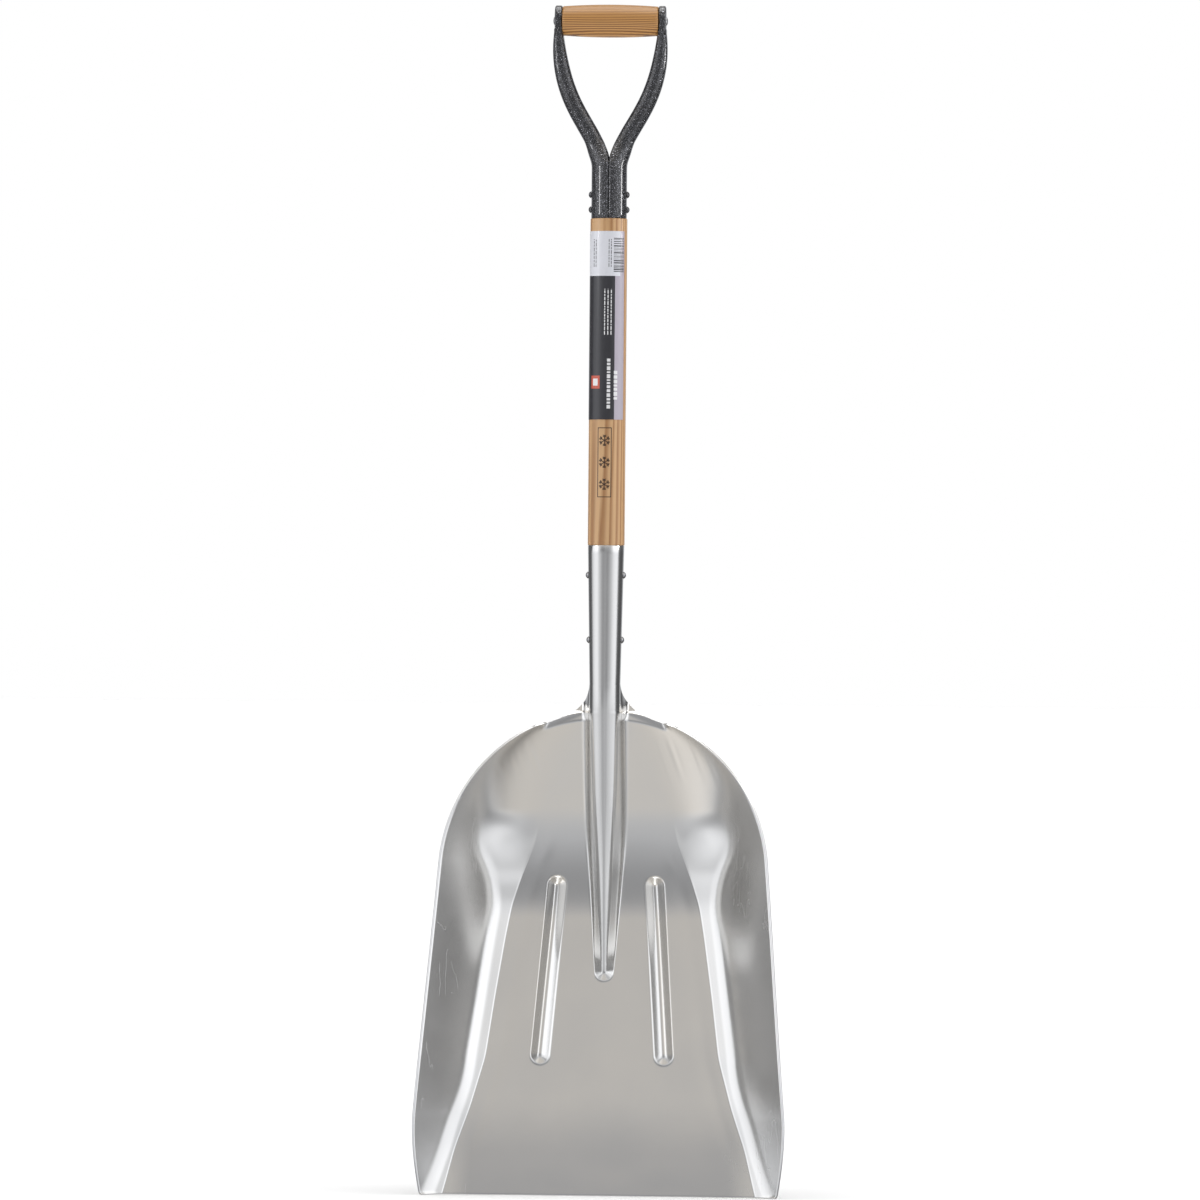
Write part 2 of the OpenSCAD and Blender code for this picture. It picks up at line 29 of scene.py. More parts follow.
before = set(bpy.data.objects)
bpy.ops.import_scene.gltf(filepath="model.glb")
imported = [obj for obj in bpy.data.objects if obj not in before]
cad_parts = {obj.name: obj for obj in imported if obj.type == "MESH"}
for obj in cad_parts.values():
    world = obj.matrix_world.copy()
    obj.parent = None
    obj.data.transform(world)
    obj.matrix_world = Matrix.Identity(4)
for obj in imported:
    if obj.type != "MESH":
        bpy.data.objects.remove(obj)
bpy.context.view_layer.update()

# ---- The same dimensions as the CAD, in millimetres ----
SHOULDER_R, SHOULDER_Z, SIDE_TAPER = 164, 320, 0.08
CORNER_CUT, CORNER_Z, CORNER_CURVE, CORNER_ROUND = 13, 80, 1.6, 4
SHEET_T = 2.5
FLOOR_TILT, BACK_TILT, BEND_SOFT = math.radians(18), math.radians(20), 39
PAN_TOP_Z, PAN_TOP_Y = 484, 50
WALL_ANGLE, WALL_EASE = 49, 6
RIM_Z, RIM_Y, RIM_CURVE, CORNER_RISE = 140, -17, 1.8, 14
RIM_SLOPE, RIM_HIGH_SLOPE, RIM_SOFT = 0.26, 0.128, 10
FILLET_LOW, FILLET_HIGH, FILLET_GROW, FILLET_SOFT, FILLET_SHARE = 15, 30, (230, 340), 16, 0.9
NECK_Z, FLARE_Z, CLOSE_Z, WRAP_ANGLE = 512, 468, 530, 174
SOCKET_TOP_R, SOCKET_LOW_R, SOCKET_TOP_Z = 18.25, 15.5, 651
RIDGE_HALF_W, RIDGE_TIP_Z, RIDGE_BEND_Z, RIDGE_SOFT = 24, 211, 500, 15
TIP_R, RIDGE_FLARE, RIDGE_WIDE_Z, RIDGE_DRIFT = 10.5, 0.0873, 368, 0.009
CREST_SHARE, VALLEY_R = 0.65, 8.5
FLANK_SHARE, FLANK_SHARE_Z = (1.19, 1.96), (300, 440)
FOOT_SOFT, FLANK_ANGLES, FLANK_RISE_Z, FLANK_FALL_Z = 3, (76, 80, 78), (246, 316), (400, PAN_TOP_Z)
RIB_W, RIB_H, RIB_LOW_Z, RIB_HIGH_Z, RIB_X, RIB_LEAN = 22, 6.8, 128, 318, 49.5, 0.075
BEAD_CREST, BEAD_FOOT = 2.6, 1.2
SHAFT_Y, SHAFT_R, YOKE_Z = 38, 18.5, 979
YOKE_R, YOKE_T = 18, 1.5
CROTCH_Z, ARM_TOP_Z, STRIP_TOP_Z, ARM_R, ARM_TOP_W = 1030, 1165, 1169, 9, 9
EYE_X, EYE_T, EYE_R, EYE_Z, ROLL_END = 52, 7.6, 12.6, 1180.4, 0.3
GRIP_Z, GRIP_R, GRIP_END_R = 1177.5, 16.5, 14.8
LABEL_LOW_Z, LABEL_SPLIT_Z, LABEL_HIGH_Z = 777, 921, 966

TAPER = math.atan(SIDE_TAPER)
SIDE_Z = SHOULDER_Z + SHOULDER_R * math.sin(TAPER)
SIDE_X = SHOULDER_R * math.cos(TAPER)
EDGE_HALF = SHEET_T / math.cos(FLOOR_TILT) / 2
TIP_Z = RIDGE_TIP_Z + TIP_R
GRIP_HALF = EYE_X - EYE_T / 2 - 0.2

# ---- Details finer than the CAD ----
SEAM_GAP = 0.35  # middle plane to the edge of a yoke half; the CAD leaves 1
# Line where the floor meets the foot of a side wall: height, distance from the middle.
CREASE = [(-20, 162), (6, 155), (46, 145), (86, 131), (136, 117), (196, 109), (256, 100),
          (287, 94.5), (314, 86), (353, 71.5), (383, 66.5), (420, 60)]
CREASE_STEP, CREASE_W = 0.25, 1.2  # height and width of the step along that line
CREASE_RAMP = math.tan(math.radians(23))  # slope of the fillet just outside it
CREASE_SOFT = 6  # size of the bend between that slope and the wall
CREASE_FADE = (325, 385)  # heights over which the line dies out
CREASE_ROUND = 0.8  # size of the rounding along the line itself
TROUGH_IN, TROUGH_W, TROUGH_DEEP = 14, 7, 0.3  # shallow hollow in the floor just inside the line
TROUGH_Z = (10, 60)  # heights over which the hollow begins
# Turned strip along the top edge of the pan: its height, where it begins and ends, its slope.
STEP_TALL, STEP_BEGIN, STEP_END, STEP_SLOPE, STEP_SOFT = 7.5, (16, 22), (57, 64), 0.34, 1.6
# Waves in the shoulders: where they begin and end, how they lean, and their height.
WRINKLE_X, WRINKLE_END_X, WRINKLE_Z, WRINKLE_RIM = (45, 75), (120, 142), (400, 455), (2, 14)
WRINKLE_LEAN, WRINKLE_MID_Z, WRINKLE_H = 0.35, 430, 0.12
# Each wave: height, turn per mm, shift, shift that changes sign with the side.
WRINKLE_WAVES = [(1.0, 0.62, 0.0, 1.1), (0.7, 0.41, 2.3, 1.0), (0.5, 0.97, 0.0, 0.6)]
UNEVEN_H = 0.16  # height of the sheet's slow unevenness
CALM_RIM, CALM_Z = (0, 25), (5, 30)  # unevenness grows over these distances from rim and edge


def ease(a, b, x):
    t = np.clip((x - a) / (b - a), 0, 1)
    return t * t * (3 - 2 * t)


def mix(a, b, t):
    return a + (b - a) * t


def soft_min(a, b, k):
    k = np.maximum(k, 1e-6)
    h = np.maximum(k - np.abs(a - b), 0) / k
    return np.minimum(a, b) - h * h * k / 4


def soft_plus(v, k):
    """v above zero, 0 below, rounded within k of zero."""
    return -soft_min(-v, 0 * v, k)


def bezier(p, t):
    p = np.array(p, float)
    t = np.asarray(t, float)[..., None]
    return p[0] * (1 - t) ** 3 + 3 * p[1] * (1 - t) ** 2 * t + 3 * p[2] * (1 - t) * t ** 2 + p[3] * t ** 3


# ---- Pan: depth of the front face ----
def pan_half_width(z):
    z = np.asarray(z, float)
    arc = np.sqrt(np.maximum(SHOULDER_R ** 2 - (z - SHOULDER_Z) ** 2, 0))
    low = np.maximum(CORNER_Z - z, 0) / CORNER_Z
    bite = np.maximum(CORNER_ROUND - z, 0)
    side = (SIDE_X + SIDE_TAPER * (SIDE_Z - z) - CORNER_CUT * low ** CORNER_CURVE
            - (CORNER_ROUND - np.sqrt(CORNER_ROUND ** 2 - bite ** 2)))
    return np.where(z > SIDE_Z, arc, side)


def rim_distance(x, z):
    return np.where(z - SHOULDER_Z > x * SIDE_TAPER,
                    np.maximum(SHOULDER_R - np.hypot(x, z - SHOULDER_Z), 0),
                    np.maximum(pan_half_width(z) - x, 0) * math.cos(TAPER))


def nearest_rim_z(x, z):
    radial = SHOULDER_Z + SHOULDER_R * (z - SHOULDER_Z) / np.maximum(np.hypot(x, z - SHOULDER_Z), 1)
    return np.where(z - SHOULDER_Z > x * SIDE_TAPER, radial, z + rim_distance(x, z) * math.sin(TAPER))


def rim_depth(z):
    low = np.maximum(RIM_Z - z, 0) / RIM_Z
    line = soft_min(RIM_Y + RIM_SLOPE * (z - RIM_Z), PAN_TOP_Y - RIM_HIGH_SLOPE * (PAN_TOP_Z - z), RIM_SOFT)
    return line + (RIM_SLOPE * RIM_Z - RIM_Y - CORNER_RISE) * low ** RIM_CURVE


def panel_depth(z):
    return soft_min(z * math.tan(FLOOR_TILT) - EDGE_HALF,
                    PAN_TOP_Y + (PAN_TOP_Z - z) * math.tan(BACK_TILT), BEND_SOFT)


def wall_slope(z):
    return np.tan(np.radians(WALL_ANGLE - WALL_EASE * ease(SIDE_Z, PAN_TOP_Z, z)))


def wall_depth(x, z):
    edge_z = nearest_rim_z(x, z)
    return rim_depth(edge_z) + rim_distance(x, z) * wall_slope(edge_z)


def plain_depth(x, z):
    """Depth of the pan as the CAD has it."""
    panel = panel_depth(z)
    size = soft_min(mix(FILLET_LOW, FILLET_HIGH, ease(*FILLET_GROW, z)),
                    FILLET_SHARE * (panel - rim_depth(z)), FILLET_SOFT)
    return soft_min(panel, wall_depth(x, z), np.maximum(size, 0))


def creased_depth(x, z):
    """Depth with a line where the floor stops and a slope that runs out into the wall."""
    out = x - crease_x(z)
    panel = panel_depth(z) - CREASE_STEP * ease(0, CREASE_W, out) - CREASE_RAMP * soft_plus(out, CREASE_ROUND)
    trough = TROUGH_DEEP * np.exp(-((out + TROUGH_IN) / TROUGH_W) ** 2) * ease(*TROUGH_Z, z)
    soft = np.minimum(CREASE_SOFT, FILLET_SHARE * np.maximum(panel_depth(z) - rim_depth(z), 0))
    return soft_min(panel + trough, wall_depth(x, z), soft)


def smooth_line(points, soft):
    """The height-to-distance line through points, sampled every mm and rounded over soft mm."""
    heights = np.arange(points[0][0], points[-1][0] + 1)
    line = np.interp(heights, *zip(*points))
    window = np.hanning(2 * soft + 1)
    padded = np.concatenate([2 * line[0] - line[soft:0:-1], line, 2 * line[-1] - line[-2:-soft - 2:-1]])
    return heights, np.convolve(padded, window / window.sum(), "valid")


CREASE_Z, CREASE_X = smooth_line(CREASE, 14)


def crease_x(z):
    return np.interp(z, CREASE_Z, CREASE_X)


def wrinkles(x, z, side):
    """Faint upright waves that the press leaves in the shoulders."""
    zone = (ease(*WRINKLE_X, x) * (1 - ease(*WRINKLE_END_X, x)) * ease(*WRINKLE_Z, z)
            * ease(*WRINKLE_RIM, rim_distance(x, z)))
    u = x + WRINKLE_LEAN * (z - WRINKLE_MID_Z) * np.sign(side)
    return WRINKLE_H * zone * sum(h * np.sin(u * rate + a + b * side) for h, rate, a, b in WRINKLE_WAVES)


def waviness(x, z, side):
    """Slow unevenness of pressed sheet."""
    u = side * x
    return UNEVEN_H * (np.sin(u * 0.043 + 0.7) * np.sin(z * 0.031 + 1.9)
                       + 0.6 * np.sin(u * 0.071 + z * 0.023 + 0.4) + 0.4 * np.sin(z * 0.055 - u * 0.037))


def step_turn(x, z):
    """How far the turned strip along the top edge leans back from the panel."""
    top = SHOULDER_Z + np.sqrt(np.maximum(SHOULDER_R ** 2 - x ** 2, 0))
    lift = soft_plus(STEP_TALL - (top - z), STEP_SOFT)
    return lift * (math.tan(BACK_TILT) + STEP_SLOPE) * ease(*STEP_BEGIN, x) * (1 - ease(*STEP_END, x))


def pan_depth(x, z, side=1.0):
    """Depth of the pan with its crease, turned strips and unevenness."""
    base = mix(creased_depth(x, z), plain_depth(x, z), ease(*CREASE_FADE, z))
    uneven = wrinkles(x, z, side) + waviness(x, z, side)
    return base + step_turn(x, z) + uneven * ease(*CALM_RIM, rim_distance(x, z)) * ease(*CALM_Z, z)


def bead(r, half_w, h):
    """Height of a round-topped bead at a distance r from its middle line."""
    slope = h / (math.hypot(half_w - 1, BEAD_CREST) - BEAD_CREST)
    height = soft_plus(h - slope * (np.hypot(r, BEAD_CREST) - BEAD_CREST), BEAD_FOOT)
    return np.where(r < half_w + BEAD_FOOT, height, 0)


def rib_height(x, z):
    end_r = RIB_W / 2
    line_z = np.clip(z, RIB_LOW_Z + end_r, RIB_HIGH_Z - end_r)
    line_x = RIB_X + RIB_LEAN * (RIB_HIGH_Z - end_r - line_z)
    return bead(np.hypot(x - line_x, z - line_z), end_r, RIB_H)


# ---- Ridge ----
def socket_r(z):
    return mix(SOCKET_LOW_R, SOCKET_TOP_R, np.clip((z - NECK_Z) / (SOCKET_TOP_Z - NECK_Z), 0, 1))


RIDGE_MEETS_Z = RIDGE_TIP_Z - 2
RIDGE_LEAN = ((RIDGE_MEETS_Z * math.tan(FLOOR_TILT) - EDGE_HALF - SHAFT_Y + SOCKET_LOW_R)
              / (RIDGE_BEND_Z - RIDGE_MEETS_Z))


def crest_depth(z):
    return SHAFT_Y - float(socket_r(z)) + RIDGE_LEAN * float(soft_plus(RIDGE_BEND_Z - z, RIDGE_SOFT))


def ridge_foot(z):
    return float(soft_min(TIP_R + (z - TIP_Z) * RIDGE_FLARE,
                          RIDGE_HALF_W + (z - RIDGE_WIDE_Z) * RIDGE_DRIFT, FOOT_SOFT))


def flank_angle(z):
    low, middle, high = FLANK_ANGLES
    return float(low + (middle - low) * ease(*FLANK_RISE_Z, z) + (high - middle) * ease(*FLANK_FALL_Z, z))


def ridge_form(z):
    """Crest radius, flank angle in radians, flank length, hollow radius."""
    r = float(socket_r(z))
    if z > NECK_Z:
        return r, math.radians(mix(90, WRAP_ANGLE, float(ease(NECK_Z, CLOSE_Z, z)))), 0.0, VALLEY_R
    if z > PAN_TOP_Z:
        a = math.radians(mix(flank_angle(PAN_TOP_Z), 90, (z - PAN_TOP_Z) / (NECK_Z - PAN_TOP_Z)))
        height = float(plain_depth(0.0, z)) - crest_depth(z)
        return r, a, max(0.0, (height - (r + VALLEY_R) * (1 - math.cos(a))) / math.sin(a)), VALLEY_R
    foot = ridge_foot(z)
    height = float(plain_depth(foot, z)) - crest_depth(z)
    share = mix(*FLANK_SHARE, float(ease(*FLANK_SHARE_Z, z)))
    a = min(math.radians(flank_angle(z)), share * math.atan(height / foot))
    rounds = (foot * math.sin(a) - height * math.cos(a)) / (1 - math.cos(a))
    flank = (height - rounds * (1 - math.cos(a))) / math.sin(a)
    return CREST_SHARE * rounds, a, flank, (1 - CREST_SHARE) * rounds


def ridge_marks(f):
    """Lengths along the section to the ends of crest, flank and hollow, and the foot's distance."""
    radius, angle, flank, hollow = f
    crest = radius * angle
    foot = (radius + hollow) * math.sin(angle) + flank * math.cos(angle)
    return crest, crest + flank, crest + flank + hollow * angle, foot


def ridge_point(f, m, s, crest_y):
    """Distance from the middle and depth of the points s mm along a section, from its crest."""
    angle = s / f[0]
    along = np.minimum(s - m[0], f[2])
    back = f[1] - np.maximum(s - m[1], 0) / f[3]
    past = s > m[1]
    sin_a, cos_a = math.sin(f[1]), math.cos(f[1])
    x2 = f[0] * sin_a + along * cos_a + np.where(past, f[3] * (sin_a - np.sin(back)), 0)
    y2 = f[0] * (1 - cos_a) + along * sin_a + np.where(past, f[3] * (np.cos(back) - cos_a), 0)
    on_crest = s <= m[0]
    return (np.where(on_crest, f[0] * np.sin(angle), x2),
            crest_y + np.where(on_crest, f[0] * (1 - np.cos(angle)), y2))


# Share of the crest's turn reached at each share of its length: round, a band of even slope, round.
BAND_LENGTH, BAND_TURN, BAND_MOST, BAND_FADE = (0.24, 0.78), (30, 46), (0.5, 0.8), (310, 400)


def banded(f, s):
    """Shift of a crest point that gives the crest a flatter band on each side."""
    u = np.linspace(0, 1, 65)
    top = math.degrees(f[1])
    turns = (0, *(min(turn, most * top) for turn, most in zip(BAND_TURN, BAND_MOST)), top)
    turn = np.radians(np.interp(u, (0, *BAND_LENGTH, 1), turns))
    step_x, step_y = np.cos(turn), np.sin(turn)
    run_x = np.concatenate([[0], np.cumsum((step_x[1:] + step_x[:-1]) / 2)])
    run_y = np.concatenate([[0], np.cumsum((step_y[1:] + step_y[:-1]) / 2)])
    at = np.clip(s / (f[0] * f[1]), 0, 1)
    end_x, end_y = f[0] * math.sin(f[1]), f[0] * (1 - math.cos(f[1]))
    x = np.interp(at, u, run_x) * end_x / run_x[-1] - f[0] * np.sin(at * f[1])
    y = np.interp(at, u, run_y) * end_y / run_y[-1] - f[0] * (1 - np.cos(at * f[1]))
    return x, y


TIP_FORM = ridge_form(TIP_Z)
TIP_MARKS = ridge_marks(TIP_FORM)
TIP_HEIGHT = float(plain_depth(float(TIP_R), TIP_Z)) - crest_depth(TIP_Z)


def tip_rise(r):
    """Height of the ridge's rounded tip at a distance r from its centre."""
    rad, a, flank, hollow = TIP_FORM
    crest_x = rad * math.sin(a)
    flank_x = crest_x + flank * math.cos(a)
    drop = rad * (1 - math.cos(a))
    top = TIP_HEIGHT - rad + np.sqrt(np.maximum(rad ** 2 - r * r, 0))
    mid = TIP_HEIGHT - drop - (r - crest_x) * math.tan(a)
    low = hollow - np.sqrt(np.maximum(hollow ** 2 - np.maximum(TIP_MARKS[3] - r, 0) ** 2, 0))
    return np.where(r >= TIP_MARKS[3], 0, np.where(r < crest_x, top, np.where(r < flank_x, mid, low)))


# ---- The sheet as a grid ----
# Free edge from the round back to the socket, a little lower than the CAD's: distance, height.
NECK_CURVE = [[71, FLARE_Z], [50, 475.5], [17.5, 481], [SOCKET_LOW_R, NECK_Z]]
CREST_N, FLANK_N, HOLLOW_N = 18, 8, 8
PAN_N = (14, 34, 28, 8, 44)  # foot to rib, rib, rib to crease, crease, crease to edge
COLUMNS = CREST_N + FLANK_N + HOLLOW_N + sum(PAN_N)
# Rows of the grid: lower end, upper end, spacing.
BANDS = [(0.7, 4, 0.8), (4, 122, 1.6), (122, 136, 1.0), (136, 205, 1.6), (205, 232, 0.9), (232, 308, 1.6),
         (308, 322, 1.0), (322, 468, 1.5)]
NECK_ROWS, WRAP_ROWS, SOCKET_ROWS = 40, 16, 14
FOLD_IN, FOLD_OUT = 1.2, 3  # columns crowd together over this much of the crease
EVEN_PAN_Z, EVEN_ROW_Z = (385, 445), (440, PAN_TOP_Z)  # heights over which the columns spread evenly
TIP_FADE = 10  # the crest's bands begin over this height above the tip


def pan_places(z, foot, edge):
    """Distances from the middle of a row's points outside the ridge."""
    level = min(z, RIB_HIGH_Z)
    mid = RIB_X + RIB_LEAN * (RIB_HIGH_Z - RIB_W / 2 - level)
    fold = float(crease_x(z))
    rib_half = RIB_W / 2 + BEAD_FOOT
    stops = [foot, mid - rib_half, mid + rib_half, fold - FOLD_IN, fold + FOLD_OUT, edge]
    wanted = np.concatenate([np.linspace(a, b, n + 1)[1:] for a, b, n in zip(stops, stops[1:], PAN_N)])
    even = np.linspace(foot, edge, sum(PAN_N) + 1)[1:]
    return mix(wanted, even, float(ease(*EVEN_PAN_Z, z)))


def sheet_row(z, edge, side):
    """Points of half a row, from the crest to the free edge."""
    below = z < TIP_Z
    f = TIP_FORM if below else ridge_form(z)
    m = ridge_marks(f)
    if z > PAN_TOP_Z or z > NECK_Z:
        past = (m[3] - edge) / f[3]
        total = (m[0] if z > NECK_Z else m[2] + edge - m[3] if edge >= m[3]
                 else m[1] + f[3] * (f[1] - math.asin(min(1, past))))
        s = np.linspace(0, total, COLUMNS + 1)
    else:
        places = pan_places(z, m[3], edge)
        s = np.concatenate([np.linspace(0, m[0], CREST_N + 1), np.linspace(m[0], m[1], FLANK_N + 1)[1:],
                            np.linspace(m[1], m[2], HOLLOW_N + 1)[1:], m[2] + places - m[3]])
        s = mix(s, np.linspace(0, s[-1], COLUMNS + 1), float(ease(*EVEN_ROW_Z, z)))
    ridge_x, ridge_y = ridge_point(f, m, np.minimum(s, m[2]), 0 if below else crest_depth(z))
    band = 0 if below else float(ease(TIP_Z, TIP_Z + TIP_FADE, z) * (1 - ease(*BAND_FADE, z)))
    if band > 0:
        shift = banded(f, s)
        ridge_x, ridge_y = ridge_x + band * shift[0], ridge_y + band * shift[1]
    x = np.where(s <= m[2], ridge_x, m[3] + s - m[2])
    field = pan_depth(x, z, side) - rib_height(x, z)
    if below:
        y = field - tip_rise(np.hypot(x, TIP_Z - z))
    elif z > NECK_Z:
        y = ridge_y
    else:
        detail = pan_depth(x, z, side) - plain_depth(x, z)
        y = np.where(s <= m[2], ridge_y + detail * ease(0.3 * m[3], m[3], x), field)
    return np.stack([side * x, y, np.full_like(x, z)], -1)


def sheet_rows():
    rows = []
    for low, high, gap in BANDS:
        count = round((high - low) / gap)
        rows += [(z, float(pan_half_width(z))) for z in np.linspace(low, high, count, endpoint=False)]
    rows += [(z, x) for x, z in bezier(NECK_CURVE, np.linspace(0, 1, NECK_ROWS + 1))]
    rows += [(z, SOCKET_LOW_R) for z in np.linspace(NECK_Z, CLOSE_Z, WRAP_ROWS + 1)[1:]]
    rows += [(z, SOCKET_TOP_R) for z in np.linspace(CLOSE_Z, SOCKET_TOP_Z - 0.5, SOCKET_ROWS + 1)[1:]]
    return rows


def unit(v):
    return v / np.maximum(np.linalg.norm(v, axis=-1, keepdims=True), 1e-9)


def grid_normals(g):
    """Unit normals towards -Y of a grid whose rows run upward and whose columns run to the right."""
    up = np.gradient(g, axis=0)
    across = np.gradient(g, axis=1)
    return unit(np.cross(across, up))


# Cross-section of a sheet's cut edge: share of the thickness, share of the bulge.
LIP = [(0.1, 0.72), (0.28, 0.95), (0.5, 1.0), (0.72, 0.95), (0.9, 0.72)]
PAN_BULGE, STRIP_BULGE = 0.55, 0.3


def sheet_mesh(name, front, back, bulge, materials):
    """Closed sheet between two grids, its edges slightly rounded. Returns the object."""
    rows, cols = front.shape[:2]
    count = rows * cols
    loop = ([(0, j) for j in range(cols)] + [(i, cols - 1) for i in range(1, rows)]
            + [(rows - 1, j) for j in range(cols - 2, -1, -1)] + [(i, 0) for i in range(rows - 2, 0, -1)])
    ring = np.array([front[i, j] for i, j in loop])
    ring_back = np.array([back[i, j] for i, j in loop])
    inner = np.array([front[min(max(i, 1), rows - 2), min(max(j, 1), cols - 2)] for i, j in loop])
    side = unit(ring_back - ring)
    out = ring - inner
    out = unit(out - (out * side).sum(-1, keepdims=True) * side)
    verts = [front.reshape(-1, 3), back.reshape(-1, 3)]
    verts += [ring + (ring_back - ring) * t + out * bulge * b for t, b in LIP]
    at = np.arange(count).reshape(rows, cols)
    quads = [np.stack([at[:-1, :-1], at[:-1, 1:], at[1:, 1:], at[1:, :-1]], -1).reshape(-1, 4)]
    quads.append(quads[0][:, ::-1] + count)
    first = np.array([at[i, j] for i, j in loop])
    between = [2 * count + k * len(loop) + np.arange(len(loop)) for k in range(len(LIP))]
    lines = [first] + between + [first + count]
    for a, b in zip(lines, lines[1:]):
        quads.append(np.stack([a, b, np.roll(b, -1), np.roll(a, -1)], -1))
    faces = np.concatenate(quads)
    slots = np.zeros(len(faces), int)
    slots[2 * (rows - 1) * (cols - 1):] = 1
    return new_mesh(name, np.concatenate(verts), faces, materials, slots)


def in_scene(name, data):
    obj = bpy.data.objects.new(name, data)
    bpy.context.scene.collection.objects.link(obj)
    return obj


def new_mesh(name, points, faces, materials, slots=None):
    """A smooth-shaded object from points in millimetres."""
    mesh = bpy.data.meshes.new(name)
    mesh.from_pydata((np.asarray(points) * MM).tolist(), [], [list(map(int, f)) for f in faces])
    for material in materials:
        mesh.materials.append(material)
    if slots is not None:
        mesh.polygons.foreach_set("material_index", np.asarray(slots, np.int32))
    mesh.polygons.foreach_set("use_smooth", np.ones(len(mesh.polygons), bool))
    mesh.update()
    return in_scene(name, mesh)


def build_pan(sheet, edge):
    rows = sheet_rows()
    right = np.array([sheet_row(z, e, 1.0) for z, e in rows])
    left = np.array([sheet_row(z, e, -1.0) for z, e in rows])
    front = np.concatenate([left[:, :0:-1], right], 1)
    normals = grid_normals(front)
    for i in (0, -1):
        flat = normals[i] * [1, 1, 0]
        normals[i] = flat / (flat ** 2).sum(-1, keepdims=True)
    return sheet_mesh("pan", front, front - SHEET_T * normals, PAN_BULGE, [sheet, edge])


# ---- Round parts ----
def lathe(name, profile, axis, centre, material, segments=128):
    """Closed solid of revolution. profile is (radius, distance along the axis), both ends on the axis."""
    turn = np.linspace(0, 2 * math.pi, segments, endpoint=False)
    points, faces, rings = [], [], []
    for r, along in profile:
        if r < 1e-6:
            rings.append([len(points)] * segments)
            points.append((0, 0, along))
        else:
            rings.append(list(range(len(points), len(points) + segments)))
            points += [(r * math.cos(t), r * math.sin(t), along) for t in turn]
    for a, b in zip(rings, rings[1:]):
        for k in range(segments):
            n = (k + 1) % segments
            faces.append(list(dict.fromkeys([a[k], a[n], b[n], b[k]])))
    points = np.array(points, float)
    if axis == "x":
        points = points[:, [2, 0, 1]]
    return new_mesh(name, points + np.array(centre, float), faces, [material])


def rounded(profile, radius, steps=4):
    """The profile with each inner corner rounded."""
    out = [profile[0]]
    for a, b, c in zip(profile, profile[1:], profile[2:]):
        a, b, c = (np.array(p, float) for p in (a, b, c))
        reach = min(radius, 0.45 * np.linalg.norm(a - b), 0.45 * np.linalg.norm(c - b))
        start, end = b + unit(a - b) * reach, b + unit(c - b) * reach
        for k in range(steps + 1):
            t = k / steps
            out.append(tuple(start * (1 - t) ** 2 + 2 * b * t * (1 - t) + end * t * t))
    return out + [profile[-1]]


SHAFT_LOW_Z, SHAFT_TOP_Z, WOOD_GAP, WOOD_ROUND = 515, 1036, 0.1, 0.8


def build_shaft(material, seam_shadow_material):
    """The shaft. Its end inside the yoke is near-black, a painted shadow where the seam shows it."""
    low_z, high_z = SOCKET_TOP_Z + WOOD_GAP, YOKE_Z - WOOD_GAP
    low_r = float(socket_r(SHAFT_LOW_Z)) - SHEET_T - WOOD_GAP
    high_r = YOKE_R - YOKE_T - WOOD_GAP
    profile = rounded([(0, SHAFT_LOW_Z), (low_r, SHAFT_LOW_Z), (SOCKET_TOP_R - SHEET_T - WOOD_GAP, low_z),
                       (SHAFT_R, low_z), (SHAFT_R, high_z), (high_r, high_z), (high_r, SHAFT_TOP_Z),
                       (0, SHAFT_TOP_Z)], WOOD_ROUND)
    shaft = lathe("ash_shaft", profile, "z", (0, SHAFT_Y, 0), material)
    shaft.data.materials.append(seam_shadow_material)
    # Faces inside the yoke take the near-black painted shadow.
    for face in shaft.data.polygons:
        face.material_index = int(face.center.z > YOKE_Z * MM)
    return shaft


def build_grip(material):
    """The grip: a barrel with chamfered ends."""
    chamfer_long, chamfer_deep = 0.6, 0.7
    reach = GRIP_HALF - chamfer_long
    barrel = [(mix(GRIP_R, GRIP_END_R, k * k), reach * k) for k in np.linspace(-1, 1, 41)]
    ends = GRIP_END_R - chamfer_deep
    profile = [(0, -GRIP_HALF), (ends, -GRIP_HALF)] + barrel + [(ends, GRIP_HALF), (0, GRIP_HALF)]
    return lathe("wooden_grip", profile, "x", (0, SHAFT_Y, GRIP_Z), material)


# ---- Yoke ----
HALF_STRIP = YOKE_R * math.acos(SEAM_GAP / YOKE_R)  # half the strip's width, laid flat
ARM_CURVE = [[ARM_R, CROTCH_Z], [ARM_R, CROTCH_Z + 40], [EYE_X - 1, ARM_TOP_Z - 80], [EYE_X, ARM_TOP_Z]]
EARLY_SHARE = 0.2  # share of the flattening that comes early
CURL_FADE, COLLAR_ROWS, COLLAR_LOW_Z = (0.1, 0.5), 14, YOKE_Z + 0.3
LIP_W, LIP_R, LIP_REACH = 3.0, 3.2, 2.9  # rolled-in long edges of each half
ARM_ROWS, STRIP_COLUMNS = 110, 72


